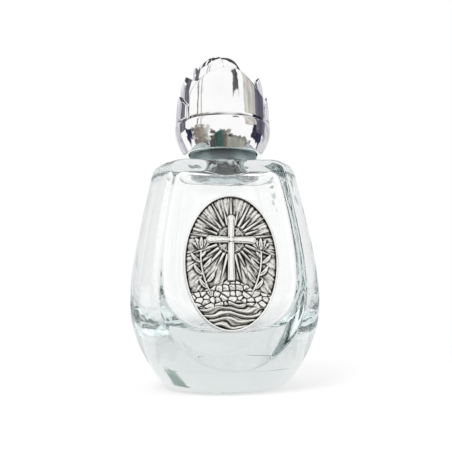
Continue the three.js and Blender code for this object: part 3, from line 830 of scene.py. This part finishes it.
def leafRise(x, y, foot, angle, length, half, bow=0.0):
    # A pointed leaf from its foot at an angle from straight up, raised to a ridge and veined
    along, across = math.cos(angle), math.sin(angle)
    s = ((x - foot[0]) * across + (y - foot[1]) * along) / length
    t = (x - foot[0]) * along - (y - foot[1]) * across - bow * 4 * s * (1 - s)
    width = half * np.sin(math.pi * np.clip(s, 0, 1) ** 0.85) ** 0.8
    depth = np.where((s > 0) & (s < 1), width - np.abs(t), -1)
    vein = 0.45 * np.exp(-((t / 0.09) ** 2)) * (s < 0.85)
    rib = 0.12 * np.sin(s * length * 5 + np.abs(t) * 7) * (np.abs(t) > 0.12)
    return smooth(depth / (0.55 * half)) * (1 - vein + rib) * (depth > 0)


def lilyRise(x, y, side):
    # A bowed stem with leaves at some of its points, a closed bud and an open flower
    t = np.linspace(0, 1, 40)[:, None]
    foot, bow, top = (np.array(lily[key]) * (side, 1) for key in ("foot", "bow", "top"))
    points = foot * (1 - t) ** 2 + 2 * bow * t * (1 - t) + top * t * t
    away = np.full(x.shape, 9.0)
    for px, py in points:
        away = np.minimum(away, np.hypot(x - px, y - py))
    rise = 0.8 * smooth(1.6 * (1 - away / lily["stem"]))
    for place, angle in lily["leaves"]:
        out = math.radians(angle) * side
        leaf = leafRise(x, y, points[place], out, *lily["leaf"], 0.3 * np.sign(out))
        rise = np.maximum(rise, 0.9 * leaf)
    place, angle, *size = lily["bud"]
    rise = np.maximum(rise, leafRise(x, y, points[place], math.radians(angle) * side, *size))
    length, half = lily["petal"]
    head = points[-1] - (0, 0.3)
    for angle, share in lily["petals"]:
        lean = math.radians(angle)
        petal = leafRise(x, y, head, lean, length * share, half, -0.35 * math.sin(lean))
        rise = np.where(petal > 0.02, petal * (0.82 + 0.18 * share), rise)
    return rise


def crossRise(x, y):
    c = cross
    up = y - c["centre"]
    tall = np.where(up > 0, up / (c["top"] - c["centre"]), up / (c["centre"] - c["foot"]))
    bar = c["half"] * (1 + c["splay"] * tall * tall)
    arm = c["half"] * (1 + c["splay"] * (x / c["span"]) ** 2)
    upright = np.minimum(np.minimum(bar - np.abs(x), c["top"] - y), y - c["foot"])
    depth = np.maximum(upright, np.minimum(arm - np.abs(up), c["span"] - np.abs(x)))
    for px, py in ((0, c["top"]), (c["span"], c["centre"]), (-c["span"], c["centre"])):
        depth = np.maximum(depth, c["bud"] - np.hypot(x - px, y - py))
    border = 0.4 * np.exp(-(((depth - c["border"][0]) / c["border"][1]) ** 2))
    grain = 0.1 * latticeNoise(x * 6, y * 0.8, 5) * (depth > 0.42)
    centre = 0.25 * smooth((0.55 - np.hypot(x, up)) / 0.2)
    body = smooth(depth / 0.24) * (0.9 - border - grain + centre)
    ring = smooth((c["nimbusHalf"] - np.abs(np.hypot(x, up) - c["nimbus"])) / 0.14)
    beads = 0.7 + 0.3 * np.cos(np.arctan2(up, x) * c["beads"])
    return np.where(depth > 0, body, 0.5 * ring * beads)


def rayRise(x, y):
    r = rays
    up = y - cross["centre"]
    length, angle = np.hypot(x, up), np.arctan2(x, up)
    turn = angle / tau * r["count"]
    which = np.round(turn)
    reach = np.where(which % 2 == 0, *r["reach"])
    along = np.clip((length - r["start"]) / (reach - r["start"]), 0, 1)
    half = r["half"] * (1 - along) ** 0.6 * (0.7 + 0.3 * along)
    across = np.abs(turn - which) / r["count"] * tau * length
    ridge = np.clip(1 - across / np.maximum(half, 1e-3), 0, 1) * (length > r["start"]) * (along < 1)
    strokes = latticeNoise(angle * 34 + 200, length * 0.55 + 9, 3) - 0.5
    return r["rise"] * np.minimum(ridge * 1.6, 1) + 0.13 * strokes * (ridge <= 0)


def rockRise(x, y):
    # Broken stones: the nearest seed of a jittered grid gives each stone its height and tilt
    g = ground
    pick = np.random.default_rng(11)
    nearest = np.full(x.shape, 9.0)
    second = np.full(x.shape, 9.0)
    stone = np.zeros(x.shape)
    for i in range(-8, 9):
        for j in range(-12, 0):
            px = (i + pick.uniform(-0.4, 0.4)) * g["rock"]
            py = (j + pick.uniform(-0.4, 0.4)) * 0.8 * g["rock"]
            tall, leanX, leanY = pick.uniform(0.55, 1.0), pick.uniform(-0.35, 0.35), pick.uniform(-0.1, 0.6)
            away = np.hypot(x - px, (y - py) * 1.25)
            closer = away < nearest
            second = np.where(closer, nearest, np.minimum(second, away))
            stone = np.where(closer, tall + leanX * (x - px) + leanY * (y - py), stone)
            nearest = np.where(closer, away, nearest)
    crack = smooth((second - nearest) / 0.32)
    chips = 0.18 * (latticeNoise(x * 3.1 + 40, y * 3.1 + 40, 7) - 0.5)
    return g["rise"] * (0.15 + crack * (stone + chips))


def waveRise(x, y):
    g = ground
    drift = 0.42 * np.sin(x * 0.75 + 0.9 * np.sin(y * 1.3))
    drift += 0.5 * latticeNoise(x * 0.6 + 30, y * 0.5 + 30, 9)
    crest = np.abs(np.sin((y + drift) / g["wave"] * math.pi))
    fine = 0.25 * np.sin((y + 1.3 * drift) / g["wave"] * math.pi * 5)
    return g["waveRise"] * (1.25 * (1 - crest) ** 0.7 + fine * crest)


def reliefRise(x, y):
    # Height of the relief above the medal's field
    m, g = medal, ground
    rise = 0.05 + rayRise(x, y)
    lip = 0.35 * latticeNoise(x * 1.2 + 60, y * 0 + 4, 13)
    bank = g["top"] - g["drop"] * (1 - np.exp(-((x / g["spread"]) ** 2))) - lip
    onRock = smooth((bank - y) / 0.16)
    rise = rise * (1 - onRock) + rockRise(x, y) * onRock
    shore = g["water"] + 0.6 * np.sin(x * 0.45 + 1) + 0.4 * latticeNoise(x + 20, y * 0 + 3, 17)
    inWater = smooth((shore - y) / 0.2)
    rise = rise * (1 - inWater) + waveRise(x, y) * inWater
    for side in (-1, 1):
        flower = lilyRise(x, y, side)
        rise = np.where(flower > 0.05, np.maximum(rise * 0.4, lily["rise"] * flower), rise)
    rood = crossRise(x, y) * smooth((y - bank + 0.5) / 0.5)
    rise = np.where(rood > 0.04, cross["rise"] * rood, rise)
    for amount, scale, seed in ((0.035, 1.4, 21), (0.03, 4.3, 23)):
        rise += amount * (latticeNoise(x * scale + 9, y * scale + 9, seed) - 0.5)
    away = edgeDistance(x, y, m["half"])
    onRim = smooth((m["rim"] - away) / 0.12 + 0.5)
    ditch = m["ditch"] * smooth(1 - (away - m["rim"]) / 0.2)
    return (rise - ditch) * (1 - onRim) + m["rimRise"] * onRim


def boxBlur(values, cells):
    # Three passes of a running mean, both ways
    for _ in range(3):
        for axis in (0, 1):
            pad = [(cells + 1, cells) if k == axis else (0, 0) for k in (0, 1)]
            total = np.cumsum(np.pad(values, pad, mode="edge"), axis=axis)
            count = values.shape[axis]
            high = np.take(total, range(2 * cells + 1, 2 * cells + 1 + count), axis=axis)
            values = (high - np.take(total, range(count), axis=axis)) / (2 * cells + 1)
    return values


def sampleRaster(values, x, y, start, step):
    i, j = (x - start[0]) / step, (y - start[1]) / step
    a, b = (np.clip(np.floor(k).astype(int), 0, size - 2) for k, size in zip((i, j), values.shape))
    return blendCells(values, a, b, i - a, j - b)


def ovalGrid(half, counts):
    # A square grid pressed into an oval, with its outermost cells on the oval's edge
    u, v = np.meshgrid(np.linspace(-1, 1, counts[0]), np.linspace(-1, 1, counts[1]), indexing="ij")
    return half[0] * u * np.sqrt(1 - v * v / 2), half[1] * v * np.sqrt(1 - u * u / 2)


def panelPlace():
    # From the panel's own frame, whose z leaves the glass, to the bottle's
    lean = math.radians(glass["panelLean"])
    depth = glass["panelFoot"] - medal["place"] * math.tan(lean)
    middle = Matrix.Translation((medal["shift"], -depth, medal["place"]))
    tilt = Matrix.Rotation(math.pi / 2 - lean, 4, "X")
    return np.array(middle @ tilt @ Matrix.Rotation(math.radians(medal["turn"]), 4, "Z"))


def makeTablet(name, x, y, top, loops, material):
    # An oval tablet: the top grid, then loops of (share of the oval, height) down its side, then its back
    columns, rows = x.shape
    index = np.arange(columns * rows).reshape(columns, rows)
    a, b, c, d = index[:-1, :-1], index[1:, :-1], index[1:, 1:], index[:-1, 1:]
    faces = np.stack([a, b, c, d], -1).reshape(-1, 4).tolist()
    border = np.concatenate([index[:, 0], index[-1, 1:], index[-2::-1, -1], index[0, -2:0:-1]])
    verts = [np.stack([x, y, top], -1).reshape(-1, 3)]
    edge = verts[0][border]
    count, last, total = len(border), border, columns * rows
    for share, height in loops:
        verts.append(np.column_stack([edge[:, :2] * share, np.full(count, height)]))
        ring = np.arange(total, total + count)
        faces += np.stack([last, ring, np.roll(ring, -1), np.roll(last, -1)], -1).tolist()
        last, total = ring, total + count
    verts.append([[0, 0, loops[-1][1]]])
    faces += [(total, int(j), int(i)) for i, j in zip(last, np.roll(last, -1))]
    verts = np.vstack(verts)
    place = panelPlace()
    return makeMesh(name, verts @ place[:3, :3].T + place[:3, 3], faces, material)


def silverMaterial():
    material, tree = newMaterial("antiqueSilver")
    patina = addNode(tree, "ShaderNodeAttribute", attribute_name="patina").outputs["Fac"]
    drift = addMath(tree, "MULTIPLY_ADD", objectNoise(tree, 420, 5, 0.6), 0.34, -0.17)
    worn = addMath(tree, "ADD", patina, drift)
    stops = [
        (0.05, (0.012, 0.011, 0.010)),
        (0.28, (0.08, 0.075, 0.07)),
        (0.46, (0.40, 0.385, 0.36)),
        (0.64, (0.74, 0.725, 0.69)),
        (0.82, (0.97, 0.965, 0.95)),
    ]
    addShell(tree, {
        "Base Color": addRamp(tree, worn, stops),
        "Metallic": 1.0,
        "Roughness": addRange(tree, worn, (0, 1), (0.6, 0.24)),
        "Normal": addBump(tree, objectNoise(tree, 2600, 3), 0.25, 0.00004),
    })
    return material


def makeMedal():
    m = medal
    half, step = m["half"], m["raster"]
    start = (-half[0] - 1, -half[1] - 1)
    rise = reliefRise(*np.meshgrid(*(np.arange(low, -low + step, step) for low in start), indexing="ij"))
    hollow = (rise - boxBlur(rise, int(m["patinaReach"] / step))) / m["patinaDepth"]
    patina = np.clip(m["patinaTone"] + 0.72 * hollow + 0.45 * (rise - 0.18), 0, 1)

    x, y = ovalGrid(half, m["grid"])
    away = np.maximum(edgeDistance(x, y, half), 0)
    fall = m["edge"] * (1 - np.sqrt(1 - (1 - np.clip(away / m["edge"], 0, 1)) ** 2))
    top = m["field"] + sampleRaster(rise, x, y, start, step) - fall
    top[[0, -1], :] = top[:, [0, -1]] = m["field"] + m["rimRise"] - m["edge"]
    loops = [(1.0, m["back"] + 0.5), (1.0, m["back"] + 0.12), (0.99, m["back"]), (0.6, m["back"])]
    piece = makeTablet("reliefMedal", x, y, top, loops, silverMaterial())
    wear = np.full(len(piece.data.vertices), m["backTone"])
    wear[: x.size] = sampleRaster(patina, x, y, start, step).ravel()
    setValues(piece, "patina", wear)
    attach(piece, "bottle")
    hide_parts("relief_medal")


def bondMaterial():
    material, tree = newMaterial("bondPad")
    cloud = objectNoise(tree, 300, 4)
    addShell(tree, {
        "Base Color": addRamp(tree, cloud, [(0.3, (0.70, 0.72, 0.70)), (0.7, (0.80, 0.82, 0.80))]),
        "Roughness": 0.35,
        "IOR": 1.47,
        "Transmission Weight": 0.35,
        "Normal": addBump(tree, cloud, 0.3, 0.0001),
    })
    return material


def makeBond():
    b = bond
    x, y = ovalGrid(b["half"], b["grid"])
    away = np.maximum(edgeDistance(x, y, b["half"]), 0)
    top = b["foot"] + b["thickness"] - b["edge"] * np.exp(-away / 0.06)
    loops = [(1.0, b["foot"] + 0.08), (0.994, b["foot"]), (0.6, b["foot"])]
    piece = makeTablet("bondPad", x, y, top, loops, bondMaterial())
    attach(piece, "bottle")
    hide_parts("bond_pad")


makeMedal()
makeBond()
print("medal and bond made")


# Seal and threaded insert inside the cap
seal = {
    "radius": 6.4,
    "foot": 61.8,
    "thickness": 1.0,
    "round": 0.25,
    "colour": (0.86, 0.85, 0.81),
    "roughness": 0.85,
    "grain": 0.6,
    "columns": 96,
    "rowStep": 0.2,
}

insert = {
    "inside": 6.7,
    "outside": 7.55,
    "foot": 52.6,
    "ceiling": 63.1,
    "top": 64.1,
    "ceilingRound": 0.4,
    "topRound": 0.3,
    "turns": 2.25,
    "flutes": 36,
    "fluteDepth": 0.12,
    "fluteEnd": 0.8,
    # Painted shade: the insert's dark grey-teal colour stands in for the shade inside the cap, seen through
    # the collar
    "colour": (0.22, 0.29, 0.29),
    "roughness": 0.4,
    "grain": 0.15,
    "columns": 288,
    "rowStep": 0.13,
}


def plasticMaterial(name, settings):
    material, tree = newMaterial(name)
    fleck, cloud = objectNoise(tree, 1500, 4), objectNoise(tree, 120, 3)
    colour, roughness = settings["colour"], settings["roughness"]
    darker = tuple(0.86 * part for part in colour)
    addShell(tree, {
        "Base Color": addRamp(tree, fleck, [(0.3, darker), (0.6, colour)]),
        "Roughness": addRange(tree, cloud, (0, 1), (roughness - 0.06, roughness + 0.08)),
        "IOR": 1.49,
        "Normal": addBump(tree, fleck, settings["grain"], 0.0001),
    })
    return material


def makeSeal():
    s = seal
    low, high, edge = s["foot"], s["foot"] + s["thickness"], s["radius"]
    path = rounded((0, low), (edge, low, s["round"]), (edge, high, s["round"]), (0, high))
    disc = spin("sealDisc", respace(path, s["rowStep"]), s["columns"], plasticMaterial("foamSeal", s))
    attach(disc, "liner")
    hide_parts("seal_liner")


def makeInsert():
    s = insert
    inside, outside, low, top = s["inside"], s["outside"], s["foot"], s["top"]
    path = rounded(
        (0, s["ceiling"]),
        (inside, s["ceiling"], s["ceilingRound"]),
        (inside, low + 0.2),
        (inside + 0.2, low),
        (outside - 0.15, low),
        (outside, low + 0.15),
        (outside, top, s["topRound"]),
        (0, top),
    )
    path = respace(path, s["rowStep"])
    turns, heights, radii = turnPath(path[1:-1], s["columns"])
    onInner = np.abs(radii - inside) < 0.01
    first = thread["start"] - thread["pitch"] / 2
    radii -= onInner * thread["depth"] * threadRise(turns, heights, first, s["turns"])
    between = (heights > low + s["fluteEnd"]) & (heights < top - s["fluteEnd"])
    onOuter = (np.abs(radii - outside) < 0.01) & between
    radii -= onOuter * s["fluteDepth"] * (0.5 + 0.5 * np.cos(turns * s["flutes"]))
    grid = ringPoints(turns, heights, radii)
    cup = closeGrid("screwInsert", grid, path[0], path[-1], plasticMaterial("insertPlastic", s))
    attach(cup, "cap")
    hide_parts("screw_insert")


makeSeal()
makeInsert()
print("seal and insert made")


# Cap shell: bulb and core turned in one, then the rose's petals and its bud, all chrome
cap = {
    "rim": 51.7,
    "rimRadius": 9.0,
    "ring": 58.6,
    "bulb": 10.96,
    "swell": 0.46,
    "pullBelow": 0.25,
    "pullAbove": 0.44,
    "edge": 0.4,
    "groove": 0.3,
    "core": 9.0,
    "coreShoulder": 5.4,
    "coreTop": 70.2,
    "bore": 7.85,
    "boreRounds": (0.25, 0.3),
    "ceiling": 64.4,
    "recess": 4.4,
    "recessTop": 69.0,
    "columns": 180,
    "rowStep": 0.22,
    "plate": ((0.93, 0.93, 0.935), (0.98, 0.98, 0.975)),
    # Near-black colour of the painted shade in the crease at the petals' feet
    "paintedShade": (0.06, 0.06, 0.07),
    "root": 1.2,
    "petalRim": 0.3,
    "petalCell": 0.42,
    "taper": 0.6,
    # Height above the ring line up to which each petal's foot gets painted shade
    "creaseShade": 0.17,
    "straight": {"innerLeft": 0.6, "others": 0.45},
    "bend": 0.85,
    "under": 0.22,
    "underTall": 0.35,
}

# Petals: azimuth from the front to the right, half widths to the left and right, radius, thickness, heights
# above the ring line at the left, at the right and at the tip, and how far the tip curls in
petals = {
    "front": (3, 52.5, 48.8, 10.85, 0.9, 4.6, 5.2, 10.75, 0.5),
    "back": (183, 52.5, 50, 10.85, 0.9, 4.6, 5.2, 10.75, 0.0),
    "outerRight": (93, 34, 36, 10.8, 0.85, 3.4, 3.4, 6.9, 0.5),
    "outerLeft": (-87, 36, 31.5, 10.8, 0.85, 3.2, 3.2, 6.5, 0.5),
    "innerRight": (93, 50, 48, 9.7, 0.75, 7.6, 8.4, 11.3, 1.0),
    "innerLeft": (-87, 50, 48, 9.9, 0.75, 7.4, 8.2, 11.0, 1.0),
    "heartLeft": (-32, 46, 42, 7.5, 0.7, 9.8, 10.2, 12.6, 0.6),
    "heartTip": (-70, 22, 24, 6.8, 0.5, 10.4, 11.0, 12.8, -0.2),
    "heartBack": (148, 44, 44, 7.5, 0.7, 9.8, 10.2, 13.0, 0.6),
    "heartRight": (62, 36, 36, 6.9, 0.6, 8.6, 9.0, 11.0, 0.6),
    "heartSide": (-125, 38, 34, 6.9, 0.6, 9.4, 9.8, 12.4, 0.6),
}

# The bud's sheets overlap at these azimuths; the edges swirl as they near the top
bud = {
    "radius": 5.6,
    "foot": 69.0,
    "top": 74.63,
    "shift": -0.6,
    "edges": (-66, -44, -28, 3, 52, 98, 142, 188, 232),
    "lift": 0.28,
    "overlap": 2.2,
    "swirl": 30,
    "columns": 600,
    "rowStep": 0.09,
}


def chromeMaterial():
    material, tree = newMaterial("capChrome")
    cloud = objectNoise(tree, 260, 3)
    creaseShade = addNode(tree, "ShaderNodeAttribute", attribute_name="creaseShade").outputs["Fac"]
    plate = addRamp(tree, cloud, list(zip((0.3, 0.7), cap["plate"])))
    # Painted shade: the plate colour turns near black where the petals' creaseShade attribute is set
    shadedPlate = addNode(tree, "ShaderNodeMix", {0: creaseShade, 6: plate, 7: (*cap["paintedShade"], 1)}, data_type="RGBA")
    addShell(tree, {
        "Base Color": shadedPlate.outputs[2],
        "Metallic": 1.0,
        "Roughness": addRange(tree, cloud, (0, 1), (0.02, 0.07)),
        "Normal": addBump(tree, objectNoise(tree, 380, 2), 0.14, 0.0002),
    })
    return material


def capPath():
    c = cap
    ring, rim, top = c["ring"], c["rim"], c["coreTop"]
    bulb, rimRadius, edge, core = c["bulb"], c["rimRadius"], c["edge"], c["core"]
    recess, recessTop = c["recess"], c["recessTop"]
    tall, edgeFoot, start = ring - rim, ring - 2 * edge, (rimRadius + 0.05, rim + 0.12)
    return chain(
        (0, recessTop),
        bend((recess - 1.3, recessTop), (recess - 1, recessTop), (recess - 0.9, recessTop - 0.4), 5),
        rounded(
            (recess, c["ceiling"]),
            (c["bore"], c["ceiling"], c["boreRounds"][1]),
            (c["bore"], rim, c["boreRounds"][0]),
            (rimRadius - 0.15, rim),
        ),
        bend((rimRadius - 0.15, rim), (rimRadius, rim), start, 5),
        bezier(start, (rimRadius + c["swell"] * (bulb - rimRadius), rim + c["pullBelow"] * tall),
               (bulb, edgeFoot - c["pullAbove"] * tall), (bulb, edgeFoot), 40),
        bend((bulb, edgeFoot), (bulb, ring), (bulb - edge, ring), 8),
        [(bulb - edge - c["groove"], ring - 0.05), (core, ring)],
        bezier((core, ring), (core, ring + 0.6 * (top - ring)),
               (core - 1.5, ring + 0.9 * (top - ring)), (c["coreShoulder"], top), 30),
        (0, top + 0.3),
    )


def petalTop(low, high, tip, across):
    # Height of the petal's rounded outline above the ring line at a share of its width
    left = bezier((-1, low), (-1, low + 0.5 * (tip - low)), (-0.55, tip), (0, tip), 60)
    right = bezier((0, tip), (0.36, tip), (0.62, high + 0.45 * (tip - high)), (1, high), 60)
    outline = np.vstack([left, right[1:]])
    return np.interp(across, outline[:, 0], outline[:, 1])


def crowded(length, rim, step):
    # Places from 0 to length, close together within a rim's width of both ends
    near = rim * (1 - np.cos(np.linspace(0, math.pi / 2, 7)))
    middle = np.linspace(rim, length - rim, max(3, int((length - 2 * rim) / step)))
    return np.concatenate([near[:-1], middle, length - near[-2::-1]])


def rimDistance(turns, heights, border):
    # How far each point of the petal lies from its border; the sides and the top lie on it
    spots = np.stack([turns, heights], -1).reshape(-1, 1, 2)
    away = np.sqrt(((spots - border[None]) ** 2).sum(-1).min(1)).reshape(heights.shape)
    away[:, 0] = away[:, -1] = 0
    away[-1, :] = 0
    return away


def makePetal(name, petal, material):
    azimuth, left, right, radius, blade, low, high, tip, curl = petal
    halves = math.radians(left), math.radians(right)
    root, rim, cell = cap["root"], cap["petalRim"], cap["petalCell"]

    def topAt(turn):
        share = np.sin(turn) / np.sin(np.where(turn < 0, *halves))
        return petalTop(low, high, tip, share)

    turn = crowded(sum(halves) * radius, rim, cell) / radius - halves[0]
    tall = tip + root
    rise = crowded(tall, rim, cell) / tall
    rise = rise[rise >= rim / tall - 1e-9]
    rise = (rise - rise[0]) / (1 - rise[0])
    heights = -root + np.outer(rise, topAt(turn) + root)
    turns = np.repeat(turn[None, :], len(rise), 0)

    fine = np.linspace(-halves[0], halves[1], 500)
    border = [np.column_stack([fine * radius, topAt(fine)])]
    for edge, end in ((-halves[0], low), (halves[1], high)):
        border.append(np.column_stack([np.full(60, edge * radius), np.linspace(-root - 1, end, 60)]))
    away = rimDistance(turns * radius, heights, np.vstack(border))
    body = blade * (1 - cap["taper"] * smooth(heights / tip))
    thick = body * np.cbrt(1 - (1 - np.clip(away / rim, 0, 1)) ** 3)

    # The blade stands straight, then leans in along a curve; its foot is undercut where it meets the bulb
    t = np.linspace(0, 1, 50)
    straight = cap["straight"].get(name, cap["straight"]["others"])
    along = tip * (straight * (1 - t) ** 2 + 2 * cap["bend"] * t * (1 - t) + t * t)
    middle = radius - blade / 2 - np.interp(heights, along, curl * t * t)
    under = np.clip(1 - heights / cap["underTall"], 0, 1) ** 2 * cap["under"]
    faced = math.radians(azimuth) + turns - math.pi / 2
    outer = ringPoints(faced, cap["ring"] + heights, middle + thick / 2 - under)
    inner = ringPoints(faced, cap["ring"] + heights, middle - thick / 2)
    grid = np.concatenate([outer, inner[:, -2:0:-1]], 1)
    rows, columns = grid.shape[:2]
    faces = ringFaces(rows, columns) + [bottomFace(columns)]
    piece = makeMesh(name + "Petal", grid.reshape(-1, 3), faces, material)
    around = np.concatenate([heights, heights[:, -2:0:-1]], 1)
    # Painted shade at the petal's foot, where it meets the bulb
    setValues(piece, "creaseShade", smooth((cap["creaseShade"] - around) / 0.08))
    weld(piece)
    return piece


def weld(piece):
    work = bmesh.new()
    work.from_mesh(piece.data)
    bmesh.ops.remove_doubles(work, verts=work.verts, dist=1e-7)
    work.to_mesh(piece.data)
    work.free()


def makeBud(material):
    b = bud
    tall = b["top"] - b["foot"]
    dome = bezier(
        (b["radius"], b["foot"]),
        (b["radius"], b["foot"] + 0.62 * tall),
        (0.66 * b["radius"], b["top"]),
        (0.02, b["top"]),
        400,
    )
    dome = respace(dome, b["rowStep"])
    out = np.gradient(dome, axis=0)
    out /= np.hypot(*out.T)[:, None]
    rows, columns = len(dome), b["columns"]
    turns, heights, radii = turnPath(dome, columns)
    shares = np.linspace(0, 1, rows)[:, None]
    azimuth = (np.degrees(turns) + 90 + b["swirl"] * shares**3) % 360
    edges = np.sort(np.array(b["edges"]) % 360)
    after = np.searchsorted(edges, azimuth.ravel()).reshape(azimuth.shape)
    low = np.concatenate([[edges[-1] - 360], edges])[after]
    high = np.concatenate([edges, [edges[0] + 360]])[after]
    # Each sheet rises from under the one before it to its own free edge
    drop = (azimuth - low) / b["overlap"]
    sheet = 0.25 + 0.75 * ((azimuth - low) / (high - low)) ** 1.5
    step = np.where(drop < 1, 1 - 0.75 * smooth(drop), sheet)
    sink = b["lift"] * (step - 1) * np.clip((1 - shares) / 0.12, 0, 1)
    grid = ringPoints(turns, heights - out[:, :1] * sink, radii + out[:, 1:] * sink)
    grid[..., 0] += b["shift"]
    verts = np.vstack([grid.reshape(-1, 3), [[b["shift"], 0, b["top"]]]])
    faces = ringFaces(rows, columns) + [bottomFace(columns)]
    first = (rows - 1) * columns
    faces += [(first + j, first + (j + 1) % columns, len(verts) - 1) for j in range(columns)]
    return makeMesh("roseBud", verts, faces, material)


def makeCap():
    material = chromeMaterial()
    path = respace(capPath(), cap["rowStep"], [((cap["bulb"], cap["ring"]), 0.5, 3)])
    parts = [spin("capBulb", path, cap["columns"], material), makeBud(material)]
    parts += [makePetal(name, petal, material) for name, petal in petals.items()]
    for part in parts:
        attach(part, "cap")
        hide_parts("cap_shell")
    print("cap made:", len(parts), "parts")


makeCap()


cycles = bpy.context.scene.cycles
cycles.max_bounces, cycles.glossy_bounces, cycles.transmission_bounces = 32, 20, 32
bpy.context.scene.view_settings.view_transform = "Standard"
